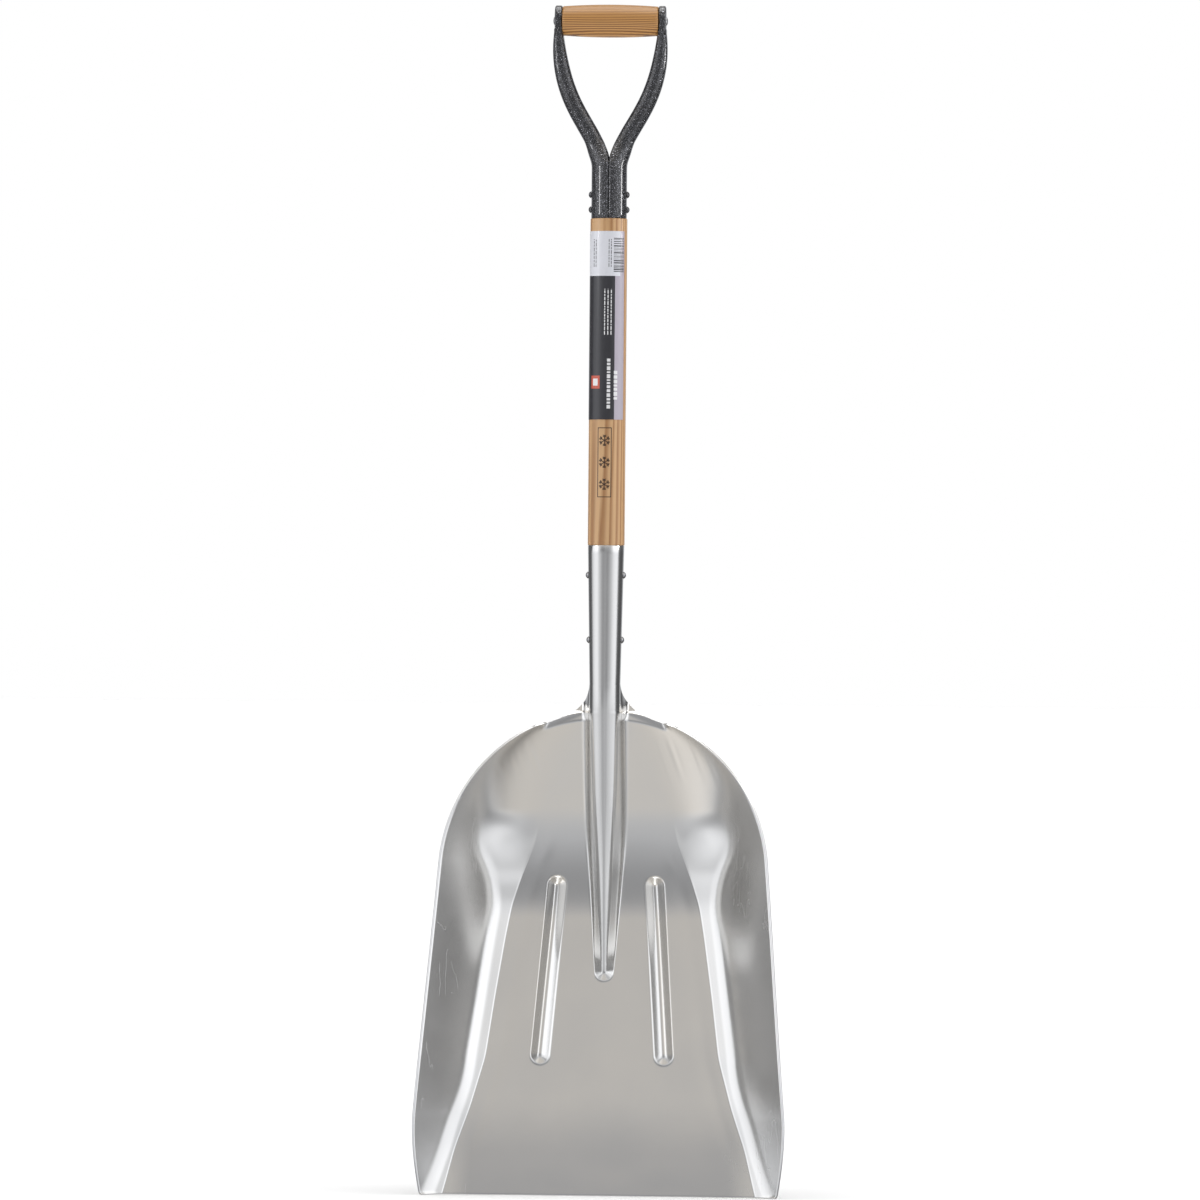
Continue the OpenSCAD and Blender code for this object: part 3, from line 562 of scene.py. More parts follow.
def strip_points(s, roll, flat):
    """Outward, back and outward direction along one section of the strip."""
    side, run = np.sign(s), np.abs(s)
    if flat > 0:
        w = mix(2 * ARM_R, ARM_TOP_W, flat)
        straight = max((HALF_STRIP + SEAM_GAP - math.pi * w / 2) / 2, 0)
        a = (run - straight) / (w / 2)
        on_face, on_arc = run < straight, a < math.pi
        out = np.where(on_face, w / 2, np.where(on_arc, w / 2 * np.cos(a), -w / 2))
        back = np.where(on_face, s, side * np.where(on_arc, straight + w / 2 * np.sin(a),
                                                    2 * straight + math.pi * w / 2 - run))
        n_out = np.where(on_face, 1, np.where(on_arc, np.cos(a), -1))
        n_back = np.where(on_face, 0, np.where(on_arc, side * np.sin(a), 0))
        return out, back, n_out, n_back
    r = 1 / mix(1 / YOKE_R, 1 / ARM_R, roll)
    a = run / r
    w = r * (1 - math.cos(HALF_STRIP / r))
    return w / 2 - r + r * np.cos(a), side * r * np.sin(a), np.cos(a), side * np.sin(a)


def curl(s):
    """How far the strip's two long edges roll inward, towards the seam."""
    reach = np.clip(np.abs(s) - (HALF_STRIP - LIP_W), 0, LIP_REACH)
    return LIP_R - np.sqrt(LIP_R ** 2 - reach ** 2)


def flattening(t):
    """How flat an arm is at the share t of its length."""
    u = max(t - ROLL_END, 0) / (1 - ROLL_END)
    return mix(u ** 6, u ** 2, EARLY_SHARE)


def yoke_stations():
    """Sections of the right half: x, z, lean, how far it is rolled to a tube, how flat."""
    t = np.linspace(0, 1, ARM_ROWS + 1)
    p, before, after = (bezier(ARM_CURVE, np.clip(t + d, 0, 1)) for d in (0, -0.01, 0.01))
    lean = np.arctan2(after[:, 0] - before[:, 0], after[:, 1] - before[:, 1])
    collar = np.linspace(COLLAR_LOW_Z, CROTCH_Z, COLLAR_ROWS, endpoint=False)
    rows = [(ARM_R, z, 0.0, 0.0, 0.0) for z in collar]
    rows += [(p[i, 0], p[i, 1], lean[i], float(ease(0, ROLL_END, t[i])), float(flattening(t[i])))
             for i in range(len(t))]
    return rows + [(EYE_X, STRIP_TOP_Z, 0.0, 1.0, 1.0)]


def build_yoke_half(name, side, paint):
    s = HALF_STRIP * np.linspace(-1, 1, STRIP_COLUMNS + 1)
    grids = []
    for depth in (0, YOKE_T):
        rows = []
        for x, z, lean, roll, flat in yoke_stations():
            out, back, n_out, n_back = strip_points(s, roll, flat)
            tuck = curl(s) * (1 - float(ease(*CURL_FADE, flat)))
            out, back = out - depth * n_out - tuck * n_out, back - depth * n_back - tuck * n_back
            rows.append(np.stack([x + out * math.cos(lean), SHAFT_Y + back, z - out * math.sin(lean)], -1))
        grids.append(np.array(rows))
    strip = sheet_mesh(name, grids[0], grids[1], STRIP_BULGE, [paint, paint])
    eye = eye_plate(name + "_eye", paint)
    fuse(strip, eye)
    if side < 0:
        mirror_x(strip)
    return strip


def eye_plate(name, paint):
    """The flattened end of an arm: a thick round-cornered plate."""
    outline = [(EYE_R * math.cos(a), EYE_Z + EYE_R * math.sin(a)) for a in np.linspace(math.pi, 0, 40)]
    cheek, heel = (11.6, EYE_Z - 8), (11, ARM_TOP_Z - 2)
    foot = [cheek, heel, (-heel[0], heel[1]), (-cheek[0], cheek[1])]
    ring = np.array(outline + foot)
    middle = np.array([0, EYE_Z - 3])
    near, far = EYE_X - EYE_T / 2, EYE_X + EYE_T / 2
    bevel = [(0, 0.86), (0.25, 0.93), (0.8, 0.98), (1.6, 1.0)]  # depth, share of the full size
    layers = [(near + d, k) for d, k in bevel] + [(far - d, k) for d, k in bevel[::-1]]
    points, n = [], len(ring)
    for x, k in layers:
        points += [(x, SHAFT_Y + p[0], p[1]) for p in middle + (ring - middle) * k]
    faces = [list(range(n)), list(range((len(layers) - 1) * n, len(layers) * n))[::-1]]
    for a in range(len(layers) - 1):
        for i in range(n):
            j = (i + 1) % n
            faces.append([a * n + i, (a + 1) * n + i, (a + 1) * n + j, a * n + j])
    return new_mesh(name, points, faces, [paint])


def apply_modifiers(obj):
    depsgraph = bpy.context.evaluated_depsgraph_get()
    mesh = bpy.data.meshes.new_from_object(obj.evaluated_get(depsgraph))
    old = obj.data
    obj.modifiers.clear()
    obj.data = mesh
    bpy.data.meshes.remove(old)


def fuse(obj, other):
    """Joins other into obj as one closed surface."""
    union = obj.modifiers.new("fuse", "BOOLEAN")
    union.operation, union.solver, union.object = "UNION", "EXACT", other
    apply_modifiers(obj)
    mesh = other.data
    bpy.data.objects.remove(other)
    bpy.data.meshes.remove(mesh)
    obj.data.polygons.foreach_set("use_smooth", np.ones(len(obj.data.polygons), bool))


def mirror_x(obj):
    obj.data.transform(Matrix.Diagonal((-1, 1, 1, 1)))
    obj.data.flip_normals()


# ---- Material nodes ----
class Nodes:
    """Small helper that adds and links shader nodes."""

    def __init__(self, tree):
        self.tree = tree
        tree.nodes.clear()

    def add(self, kind, settings=None, **inputs):
        node = self.tree.nodes.new(kind)
        for key, value in (settings or {}).items():
            setattr(node, key, value)
        for key, value in inputs.items():
            self.put(node, key.replace("_", " "), value)
        return node

    def put(self, node, key, value):
        socket = node.inputs[int(key)] if key.isdigit() else node.inputs[key]
        if isinstance(value, bpy.types.NodeSocket):
            self.tree.links.new(value, socket)
        else:
            socket.default_value = value

    def math(self, operation, a, b=0.0, clamp=False):
        node = self.tree.nodes.new("ShaderNodeMath")
        node.operation, node.use_clamp = operation, clamp
        self.put(node, "0", a)
        self.put(node, "1", b)
        return node.outputs[0]

    def vector(self, operation, a, b, key="1"):
        node = self.add("ShaderNodeVectorMath", {"operation": operation})
        self.put(node, "0", a)
        self.put(node, key, b)
        return node.outputs[0]

    def plus(self, a, b):
        return self.math("ADD", a, b)

    def times(self, a, b):
        return self.math("MULTIPLY", a, b)

    def ramp(self, value, stops, smooth=False):
        """stops are (position, colour or grey)."""
        node = self.tree.nodes.new("ShaderNodeValToRGB")
        node.color_ramp.interpolation = "EASE" if smooth else "LINEAR"
        while len(node.color_ramp.elements) < len(stops):
            node.color_ramp.elements.new(0.5)
        for element, (place, colour) in zip(node.color_ramp.elements, stops):
            element.position = place
            element.color = (*colour, 1) if hasattr(colour, "__len__") else (colour, colour, colour, 1)
        self.put(node, "0", value)
        return node.outputs[0]

    def blend(self, factor, a, b):
        node = self.tree.nodes.new("ShaderNodeMix")
        node.data_type = "RGBA"
        for socket, value in ((0, factor), (6, a), (7, b)):
            single = isinstance(value, (float, bpy.types.NodeSocket))
            self.put(node, str(socket), value if single else (*value, 1))
        return node.outputs[2]

    def scaled(self, vector, scale, turn=(0, 0, 0)):
        node = self.tree.nodes.new("ShaderNodeMapping")
        self.put(node, "Vector", vector)
        node.inputs["Scale"].default_value = scale
        node.inputs["Rotation"].default_value = turn
        return node.outputs[0]

    def noise(self, vector, scale=1.0, detail=2.0, rough=0.5, distort=0.0):
        node = self.add("ShaderNodeTexNoise", None, Vector=vector, Scale=scale, Detail=detail,
                        Roughness=rough, Distortion=distort)
        return node.outputs["Fac"]

    def place(self):
        return self.add("ShaderNodeTexCoord").outputs["Object"]

    def parts(self, vector):
        return self.add("ShaderNodeSeparateXYZ", None, Vector=vector).outputs

    def bump(self, height, distance, strength=1.0, normal=None):
        node = self.add("ShaderNodeBump", None, Height=height, Distance=distance, Strength=strength)
        if normal is not None:
            self.put(node, "Normal", normal)
        return node.outputs[0]


def material(name, build):
    """A material whose build function gives the inputs of its Principled shader."""
    mat = bpy.data.materials.new(name)
    mat.use_nodes = True
    n = Nodes(mat.node_tree)
    shader = n.add("ShaderNodeBsdfPrincipled")
    for key, value in build(n).items():
        n.put(shader, key, value if isinstance(value, (float, int, bpy.types.NodeSocket)) or len(value) == 4
              else (*value, 1) if "Color" in key else value)
    n.tree.links.new(shader.outputs[0], n.add("ShaderNodeOutputMaterial").inputs[0])
    return mat


def aluminium(n):
    """Pressed sheet with fine level brushing, smudges and a few long scratches."""
    p = n.place()
    lines = n.noise(n.scaled(p, (22, 22, 900)), 1, 3, 0.6)
    cloud = n.noise(p, 14, 4, 0.6)
    scratch = n.noise(n.scaled(p, (60, 60, 12), (0.2, 0.35, 0)), 1, 2, 0.5, 0.3)
    scratch = n.ramp(n.math("ABSOLUTE", n.math("SUBTRACT", scratch, 0.5)), [(0, 1), (0.002, 0)])
    x, y, z = n.parts(p)
    spots = n.math("GREATER_THAN", n.noise(p, 9, 2), 0.54)
    walls = n.ramp(n.math("ABSOLUTE", x), [(0.115, 0), (0.14, 1)])
    scratch = n.times(n.times(scratch, spots), walls)
    # The middle of the floor is darker towards the digging edge.
    low_darkening = n.ramp(z, [(0.0, 1), (0.035, 0.85), (0.10, 0)], True)
    tone = n.plus(n.times(lines, 0.05), n.times(cloud, 0.06))
    colour = n.blend(tone, (0.76, 0.75, 0.73), (0.87, 0.865, 0.85))
    colour = n.blend(n.times(low_darkening, n.ramp(n.math("ABSOLUTE", x), [(0.13, 1), (0.15, 0)])),
                     colour, (0.58, 0.585, 0.59))
    rough = n.plus(0.15, n.times(cloud, 0.12))
    rough = n.plus(rough, n.times(scratch, 0.15))
    fine = n.bump(lines, 0.00002, 0.6)
    return {"Base Color": colour, "Metallic": 1.0, "Roughness": rough, "Anisotropic": 0.55,
            "Tangent": n.add("ShaderNodeCombineXYZ", None, Z=1.0).outputs[0],
            "Normal": n.bump(scratch, 0.00003, 0.5, fine)}


def cut_edge(n):
    """The sheet's sheared edge: brighter and finely grained."""
    p = n.place()
    grit = n.noise(p, 1400, 2)
    return {"Base Color": n.blend(grit, (0.82, 0.82, 0.82), (0.93, 0.93, 0.92)), "Metallic": 1.0,
            "Roughness": n.plus(0.24, n.times(grit, 0.14)), "Normal": n.bump(grit, 0.00004, 0.3)}


def wood(n, along, pale, mid, dark, ring_scale, seed, drawn, contrast):
    """Ring-porous wood: bands of pores and plain wood, drawn out along the axis of the grain."""
    p = n.place()
    stretch, fibre_scale = [1.0] * 3, [1500.0] * 3
    stretch[along], fibre_scale[along] = drawn, 45.0
    grain = n.scaled(p, tuple(stretch))
    warp = n.noise(grain, 34 + seed, 2, 0.5)
    x, y, z = n.parts(p)
    other, share = (z, 0.25) if along == 0 else (x, 0.72)
    across = n.plus(n.times(y, share), n.times(other, math.sqrt(1 - share ** 2)))
    phase = n.plus(n.times(across, ring_scale), n.times(warp, 5.0))
    rings = n.math("FRACT", phase)
    bands = n.ramp(rings, [(0, 1.0), (0.16, 0.8), (0.48, 0.12), (0.80, 0.0), (1, 1.0)])
    fibre = n.noise(n.scaled(p, tuple(fibre_scale)), 1, 3, 0.65)
    pores = n.times(n.ramp(fibre, [(0.0, 1), (0.44, 0)]), bands)
    patch = n.noise(grain, 12, 2)
    base = n.blend(n.ramp(patch, [(0.3, 0), (0.7, 1)]), pale, mid)
    base = n.blend(n.times(bands, contrast), base, dark)
    colour = n.blend(n.times(pores, 0.7), base, tuple(0.45 * c for c in dark))
    height = n.math("SUBTRACT", n.times(fibre, 0.3), n.plus(pores, n.times(bands, 0.3)))
    return {"Base Color": colour, "Roughness": n.plus(0.3, n.times(fibre, 0.15)),
            "Coat Weight": 0.2, "Coat Roughness": 0.2, "Normal": n.bump(height, 0.00012, 0.45)}


def ash(n):
    return wood(n, along=2, pale=(0.62, 0.40, 0.215), mid=(0.50, 0.29, 0.13), dark=(0.28, 0.12, 0.036),
                ring_scale=150, seed=0, drawn=0.045, contrast=0.8)


def grip_wood(n):
    return wood(n, along=0, pale=(0.66, 0.36, 0.12), mid=(0.50, 0.235, 0.06), dark=(0.13, 0.042, 0.008),
                ring_scale=620, seed=7, drawn=0.006, contrast=1.0)


def hammertone(n):
    """Near-black paint that has dried into small glossy dimples."""
    p = n.place()
    drift = n.add("ShaderNodeTexNoise", None, Vector=p, Scale=300.0, Detail=1.0).outputs["Color"]
    warped = n.vector("ADD", p, n.vector("SCALE", drift, 0.0016, "Scale"))
    cells = n.add("ShaderNodeTexVoronoi", {"feature": "SMOOTH_F1"}, Vector=warped, Scale=520.0,
                  Smoothness=0.6)
    dimple = cells.outputs["Distance"]
    flake = n.noise(p, 1300, 2)
    colour = n.blend(n.ramp(dimple, [(0.1, 0), (0.7, 1)]), (0.003, 0.003, 0.004), (0.008, 0.008, 0.010))
    speck = n.ramp(flake, [(0.60, 0), (0.67, 1)])
    colour = n.blend(speck, colour, (0.50, 0.50, 0.55))
    return {"Base Color": colour, "Metallic": speck, "Roughness": 0.22, "Coat Weight": 1.0,
            "Coat Roughness": 0.07, "Normal": n.bump(n.math("SUBTRACT", 1.0, dimple), 0.0008, 0.9)}


def steel(n, bright, dull):
    """Plain steel with uneven wear."""
    p = n.place()
    wear = n.noise(p, 420, 4, 0.6)
    return {"Base Color": n.blend(wear, dull, bright), "Metallic": 1.0,
            "Roughness": n.plus(0.22, n.times(wear, 0.25)), "Normal": n.bump(wear, 0.00008, 0.35)}


def film(n, base, shade):
    """Printed glossy plastic film with a faint ripple."""
    p = n.place()
    ripple = n.noise(n.scaled(p, (60, 60, 18)), 1, 3)
    scuff = n.noise(p, 700, 3, 0.7)
    return {"Base Color": n.blend(n.times(scuff, 0.7), base, shade), "Coat Weight": 0.5,
            "Roughness": n.plus(0.22, n.times(scuff, 0.2)), "Coat Roughness": 0.1,
            "Normal": n.bump(ripple, 0.0002, 0.3)}


def film_of(name, base, shade):
    return material(name, lambda n: film(n, base, shade))


PAN_METAL = material("pan_aluminium", aluminium)
EDGE_METAL = material("cut_aluminium_edge", cut_edge)
ASH = material("lacquered_ash", ash)
GRIP_WOOD = material("lacquered_grip_wood", grip_wood)
PAINT = material("hammertone_paint", hammertone)
RIVET_STEEL = material("rivet_steel", lambda n: steel(n, (0.55, 0.55, 0.56), (0.33, 0.33, 0.34)))
ROD_STEEL = material("rod_steel", lambda n: steel(n, (0.62, 0.62, 0.64), (0.42, 0.42, 0.43)))
LABEL_WHITE = film_of("label_white_film", (0.66, 0.67, 0.72), (0.60, 0.61, 0.66))
LABEL_BLACK = film_of("label_black_film", (0.022, 0.022, 0.026), (0.035, 0.034, 0.042))
# Painted sheen: pale purplish film for the band down the label's right side.
LABEL_PAINTED_SHEEN = film_of("label_painted_sheen_film", (0.42, 0.38, 0.44), (0.36, 0.33, 0.40))
INK = film_of("label_dark_ink", (0.05, 0.05, 0.055), (0.08, 0.08, 0.085))
PALE_INK = film_of("label_pale_ink", (0.75, 0.75, 0.76), (0.66, 0.66, 0.68))
RED_INK = film_of("label_red_ink", (0.55, 0.09, 0.05), (0.45, 0.07, 0.04))
# Painted shadow: near-black film on the shaft's end inside the yoke, where the seam shows only shade.
SEAM_PAINTED_SHADOW = film_of("painted_seam_shadow", (0.006, 0.006, 0.007), (0.012, 0.012, 0.013))
BURNT = film_of("burnt_mark", (0.035, 0.02, 0.012), (0.07, 0.035, 0.018))


# ---- Marks printed or burnt on round surfaces ----
def arc_patch(turn_a, turn_b, low, high, inner, outer, step=4.0):
    """Points and faces of a thin shell on the shaft. Turns are degrees to the right of the front."""
    n = max(1, math.ceil(abs(turn_b - turn_a) / step))
    points, faces = [], []
    for k in range(n + 1):
        a = math.radians(mix(turn_a, turn_b, k / n))
        for r, z in ((inner, low), (outer, low), (outer, high), (inner, high)):
            points.append((r * math.sin(a), SHAFT_Y - r * math.cos(a), z))
    for k in range(n):
        for c in range(4):
            d = (c + 1) % 4
            faces.append([4 * k + c, 4 * k + d, 4 * k + 4 + d, 4 * k + 4 + c])
    faces += [[3, 2, 1, 0], [4 * n, 4 * n + 1, 4 * n + 2, 4 * n + 3]]
    return points, faces


def patches(name, parts):
    """One object from (patch arguments, material) pairs."""
    points, faces, slots, mats = [], [], [], []
    for args, mat in parts:
        p, f = arc_patch(*args)
        if mat not in mats:
            mats.append(mat)
        faces += [[i + len(points) for i in face] for face in f]
        slots += [mats.index(mat)] * len(f)
        points += p
    return new_mesh(name, points, faces, mats, slots)


def flat_shaded(obj):
    obj.data.set_sharp_from_angle(angle=math.radians(40))
    return obj


def rule_lines(rng, turn_a, turn_b, low, high, radius, mat, gap=0.35):
    """One line of upright marks of uneven length that stands for a line of small print."""
    parts, z = [], low
    while z < high:
        length = float(rng.uniform(1.4, 4.2))
        parts.append(((turn_a, turn_b, z, min(z + length, high), radius, radius + 0.02), mat))
        z += length + gap + 0.5
    return parts


def turn_of(x, radius=SHAFT_R):
    """Degrees from the front at which a point on the shaft stands x mm to the right."""
    return math.degrees(math.asin(max(-1, min(1, x / radius))))


def build_label():
    """The label: fields of film with bars and blocks of ink in place of print."""
    rng = np.random.default_rng(5)
    skin, film_t, middle = SHAFT_R + 0.03, 0.26, LABEL_SPLIT_Z
    ink = skin + film_t
    fields = [((-90, 42, middle, LABEL_HIGH_Z), LABEL_WHITE),
              ((-240, -90, LABEL_LOW_Z, LABEL_HIGH_Z), LABEL_WHITE),
              ((-90, 24, LABEL_LOW_Z, middle), LABEL_BLACK),
              # The band at the label's right end, at both heights, is painted sheen.
              ((24, 60, LABEL_LOW_Z, middle), LABEL_PAINTED_SHEEN),
              ((42, 60, middle, LABEL_HIGH_Z), LABEL_PAINTED_SHEEN)]
    parts = [((*place, skin, ink), mat) for place, mat in fields]
    for x in (-3, 0.2, 3.4):
        parts += rule_lines(rng, turn_of(x), turn_of(x + 1.0), 862, 908, ink, PALE_INK)
    for x, low, high in ((0.2, 788, 838), (7.0, 797, 826)):
        parts += rule_lines(rng, turn_of(x), turn_of(x + 3.4), low, high, ink, PALE_INK, 0.7)
    parts.append(((turn_of(-15.5), turn_of(-7), 808, 821, ink, ink + 0.02), RED_INK))
    parts.append(((turn_of(-13.6), turn_of(-9), 811, 818, ink + 0.03, ink + 0.05), PALE_INK))
    z = 925.0
    while z < 960:
        width = float(rng.choice([0.5, 0.9, 1.4]))
        parts.append(((turn_of(6), turn_of(15.5), z, z + width, ink, ink + 0.02), INK))
        z += width + float(rng.choice([0.5, 0.8, 1.2]))
    for x in (-14, -12, 1.0, 3.2):
        parts += rule_lines(rng, turn_of(x), turn_of(x + 0.7), 930, 958, ink, INK)
    return flat_shaded(patches("shaft_label", parts))


MARK_SKIN = (SHAFT_R + 0.02, SHAFT_R + 0.05)
DEGREES_PER_MM = math.degrees(1 / SHAFT_R)
DOT_HALF, ARM_DOTS, TWIGS_AT, TWIG_STEP = 0.42, 9, (5, 7), 0.75


def flake_bars(turn, z, size):
    """A small six-armed snowflake laid on the shaft, as square dots stepped along each arm."""
    dots = []
    for arm in range(6):
        a = math.radians(60 * arm + 30)
        for k in range(ARM_DOTS):
            reach = size * (k + 0.5) / ARM_DOTS
            u, v = reach * math.cos(a), reach * math.sin(a)
            dots.append((u, v))
            if k in TWIGS_AT:
                twigs = [(a + side * math.radians(60), q * TWIG_STEP) for side in (-1, 1) for q in (1, 2)]
                dots += [(u + w * math.cos(b), v + w * math.sin(b)) for b, w in twigs]
    return [((turn + (u - DOT_HALF) * DEGREES_PER_MM, turn + (u + DOT_HALF) * DEGREES_PER_MM,
              z + v - DOT_HALF, z + v + DOT_HALF, *MARK_SKIN), BURNT) for u, v in dots]


def build_emblem():
    """Burnt mark on the shaft: three snowflakes in a plain frame."""
    low, high, line = 699, 769, 0.8
    left, right = turn_of(-8.5), turn_of(5.5)
    wide = line * DEGREES_PER_MM
    bars = [(left, left + wide, low, high), (right - wide, right, low, high),
            (left, right, low, low + line), (left, right, high - line, high)]
    parts = [((*bar, *MARK_SKIN), BURNT) for bar in bars]
    for z in (712, 734, 756):
        parts += flake_bars((left + right) / 2, z, 5.4)
    return flat_shaded(patches("burnt_emblem", parts))


def keep_node(name, mat):
    """A CAD node that stays, with its finish."""
    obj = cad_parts[name]
    obj.data.materials.clear()
    obj.data.materials.append(mat)


def piece(obj, slot, *nodes):
    """Hides the CAD nodes that a new piece replaces and attaches the piece to the root body. slot is not
    used.
    """
    if nodes:
        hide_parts(*nodes)
    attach(obj, "root")


piece(build_pan(PAN_METAL, EDGE_METAL), "pan_aluminium", "blade")
piece(build_shaft(ASH, SEAM_PAINTED_SHADOW), "shaft_ash", "shaft")
piece(build_grip(GRIP_WOOD), "grip_wood", "grip")
piece(build_yoke_half("yoke_half_right", 1, PAINT), "yoke_hammertone", "yoke_right")
piece(build_yoke_half("yoke_half_left", -1, PAINT), "yoke_hammertone", "yoke_left")
piece(build_label(), "label_film", "label")
piece(build_emblem(), "shaft_ash")
for rivet in ("socket_rivet_upper", "socket_rivet_lower"):
    keep_node(rivet, RIVET_STEEL)
for rivet in ("yoke_rivet_upper", "yoke_rivet_lower"):
    keep_node(rivet, PAINT)
keep_node("grip_rod", ROD_STEEL)


# ---- Studio ----
def build_floor():
    def pale(n):
        grain = n.noise(n.place(), 3, 2)
        return {"Base Color": n.blend(grain, (0.93, 0.93, 0.93), (0.95, 0.95, 0.95)), "Roughness": 0.9,
                "Specular IOR Level": 0.1}
    far = 40000
    floor = new_mesh("studio_floor", [(-far, -far, 0), (far, -far, 0), (far, far, 0), (-far, far, 0)],
                     [[0, 1, 2, 3]], [material("studio_floor", pale)])
    floor.visible_glossy = False


# Brightness of the studio all round, in rings at rising height. Each entry is degrees from the
# front, positive to the right, and brightness. The first and last hold up to where BEHIND fades in.
DEEP = [(-180, 0.15), (-90, 0.2), (-75, 0.68), (-55, 0.92), (-40, 0.86), (-15, 0.7), (25, 0.7),
        (45, 0.62), (60, 0.38), (75, 0.18), (180, 0.15)]
LOWER = [(-180, 0.15), (-97, 0.18), (-88, 0.5), (-80, 1.0), (-60, 1.2), (-40, 1.12), (-25, 0.84),
         (-8, 0.7), (8, 0.7), (25, 0.8), (40, 0.98), (60, 1.05), (76, 0.95), (84, 0.3),
         (92, 0.18), (180, 0.15)]
LEVEL = [(-180, 0.1), (-112, 0.12), (-103, 0.2), (-95, 0.8), (-84, 0.95), (-70, 1.12), (-54, 1.05),
         (-40, 0.64), (-27, 0.54), (-13, 0.44), (0, 0.36), (13, 0.24), (26, 0.33), (40, 0.46),
         (52, 0.8), (66, 1.1), (84, 1.15), (91, 0.45), (98, 0.14), (110, 0.1), (180, 0.1)]
DUSK = [(-180, 0.12), (-97, 0.15), (-80, 0.34), (-60, 0.42), (-40, 0.62), (-25, 0.7), (-8, 0.6), (8, 0.6),
        (25, 0.68), (40, 0.58), (60, 0.45), (76, 0.3), (92, 0.15), (180, 0.12)]
BELOW = [(-180, 0.12), (-112, 0.14), (-100, 0.45), (-84, 0.95), (-70, 1.12), (-54, 1.2), (-42, 0.96),
         (-32, 0.78), (-22, 0.32), (-12, 0.28), (-3, 0.5), (6, 0.5), (14, 0.44), (26, 0.75), (38, 1.0),
         (50, 1.15), (64, 1.15), (84, 1.15), (91, 0.45), (98, 0.14), (110, 0.1), (180, 0.1)]
RISING = [(-180, 0.12), (-99, 0.14), (-91, 1.25), (-54, 1.35), (-46, 0.95), (-36, 0.55), (-27, 0.3),
          (-12, 0.24), (-3, 0.36), (6, 0.38), (20, 0.4), (36, 0.62), (45, 1.0), (54, 1.45), (87, 1.45),
          (94, 0.15), (180, 0.12)]
UPPER = [(-180, 0.12), (-99, 0.14), (-91, 1.25), (-54, 1.35), (-46, 0.95), (-36, 0.7), (-20, 0.7),
         (20, 0.7), (36, 0.7), (45, 1.0), (54, 1.45), (87, 1.45), (94, 0.15), (180, 0.12)]
# Each ring after DEEP, and the angles above the horizon over which it takes over.
RINGS = [(LOWER, -44, -34), (DUSK, -38, -30), (BELOW, -20, -13), (LEVEL, -7, -1), (RISING, 2, 10),
         (UPPER, 22, 34)]
OVERHEAD, OVERHEAD_MATT = 3.0, 1.3
BEHIND, BEHIND_FADE = 0.55, (138, 155)  # even light behind the shovel, and where it fades in
WARM, COOL = (1.03, 0.985, 0.93), (0.965, 0.985, 1.03)
# Angle above the horizon, tint, brightness.
TINTS = [(-42, WARM, 1.0), (-33, COOL, 1.0), (27, COOL, 1.0), (33, WARM, 1.04), (36, WARM, 1.0),
         (42, WARM, 0.66), (56, WARM, 0.8)]
# The same room as matt surfaces gather it: light mostly from the two sides.
GATHERED = [(-180, 0.4), (-125, 0.5), (-108, 1.75), (-66, 1.6), (-48, 0.5), (0, 0.38), (48, 0.55),
            (66, 1.95), (108, 2.2), (125, 0.55), (180, 0.4)]


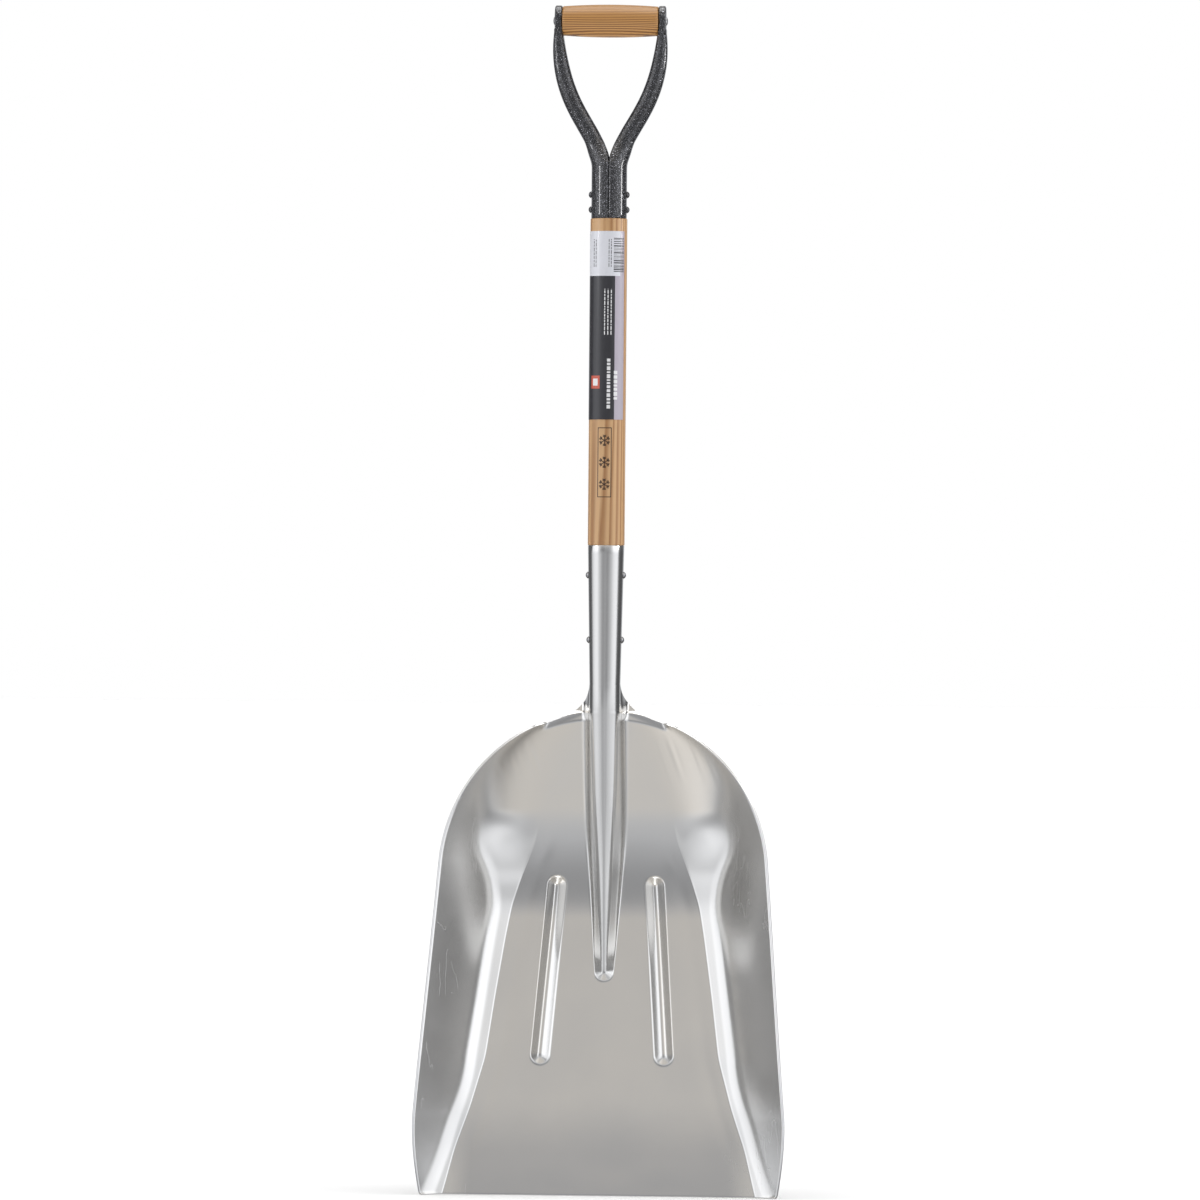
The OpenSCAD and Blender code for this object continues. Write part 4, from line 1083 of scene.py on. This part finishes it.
def build_world():
    """A soft studio as light from all round: white for the camera, panels and shade for the rest."""
    world = bpy.data.worlds.new("studio")
    bpy.context.scene.world = world
    world.use_nodes = True
    n = Nodes(world.node_tree)
    x, y, z = n.parts(n.add("ShaderNodeTexCoord").outputs["Generated"])
    turn = n.math("DIVIDE", n.math("ARCTAN2", x, n.times(y, -1.0)), 2 * math.pi)
    turn = n.plus(turn, 0.5)
    rise = n.plus(n.math("DIVIDE", n.math("ARCSINE", z), math.pi), 0.5)

    def around(table):
        """A ring of light, with the part behind the shovel lit evenly."""
        start, full = BEHIND_FADE
        left = [(-180, BEHIND), (-full, BEHIND), (-start, table[0][1])]
        right = [(start, table[-1][1]), (full, BEHIND), (180, BEHIND)]
        return n.ramp(turn, [(a / 360 + 0.5, v) for a, v in left + table[1:-1] + right])

    def up(*stops):
        return n.ramp(rise, [(a / 180 + 0.5, v) for a, v in stops])

    def light(colour):
        return n.add("ShaderNodeBackground", None, Color=colour, Strength=1.0).outputs[0]

    def pick(choice, a, b):
        node = n.add("ShaderNodeMixShader")
        for key, value in enumerate((choice, a, b)):
            n.put(node, str(key), value)
        return node.outputs[0]

    ring = around(DEEP)
    for table, start, end in RINGS:
        ring = n.blend(up((start, 0), (end, 1)), ring, around(table))
    tints = [(angle, tuple(level * c for c in tint)) for angle, tint, level in TINTS]
    tinted = n.vector("MULTIPLY", ring, up(*tints))
    glossy = n.blend(up((56, 0), (66, 1)), tinted, (OVERHEAD,) * 3)
    matt = n.blend(up((40, 0), (70, 1)), around(GATHERED), (OVERHEAD_MATT,) * 3)
    path = n.add("ShaderNodeLightPath").outputs
    room = pick(path["Is Diffuse Ray"], light(glossy), light(matt))
    room = pick(path["Is Camera Ray"], room, light((1, 1, 1, 1)))
    n.tree.links.new(room, n.add("ShaderNodeOutputWorld").inputs[0])


def looking_back(target, angle, far):
    """A place far from the target, at an angle from the front, that looks back at it."""
    away = Vector((math.sin(angle), -math.cos(angle), 0))
    return Matrix.Translation(target + away * far) @ (-away).to_track_quat("-Z", "Y").to_matrix().to_4x4()


# Narrow lamps beside the yoke: degrees from the front, width, brightness.
STRIPS = [(-63, 0.10, 11), (91, 0.16, 13)]
STRIP_FAR, STRIP_TALL = 1.0, 0.13
STRIP_AIM = Vector((0, SHAFT_Y * MM, 1.055))


def build_strips():
    for index, (turn, wide, bright) in enumerate(STRIPS):
        lamp = bpy.data.lights.new(f"strip_{index}", "AREA")
        lamp.shape, lamp.size, lamp.size_y = "RECTANGLE", wide, STRIP_TALL
        lamp.energy = bright * math.pi * wide * STRIP_TALL
        in_scene(lamp.name, lamp).matrix_world = looking_back(STRIP_AIM, math.radians(turn), STRIP_FAR)


CAMERA_FAR, CAMERA_YAW, CAMERA_ROLL = 8.5, math.radians(3.0), math.radians(0.5)
FRAME_W, SENSOR = 1.2, 36.0
AIM = Vector((-0.0037, 0.0, 0.596))


def build_camera():
    data = bpy.data.cameras.new("camera")
    data.sensor_width = SENSOR
    data.lens = SENSOR * CAMERA_FAR / FRAME_W
    data.clip_end = 200
    camera = in_scene("camera", data)
    roll = Matrix.Rotation(CAMERA_ROLL, 4, "Z")
    camera.matrix_world = looking_back(AIM, CAMERA_YAW, CAMERA_FAR) @ roll
    bpy.context.scene.camera = camera


build_floor()
build_world()
build_strips()
build_camera()
bpy.context.scene.view_settings.view_transform = "Standard"
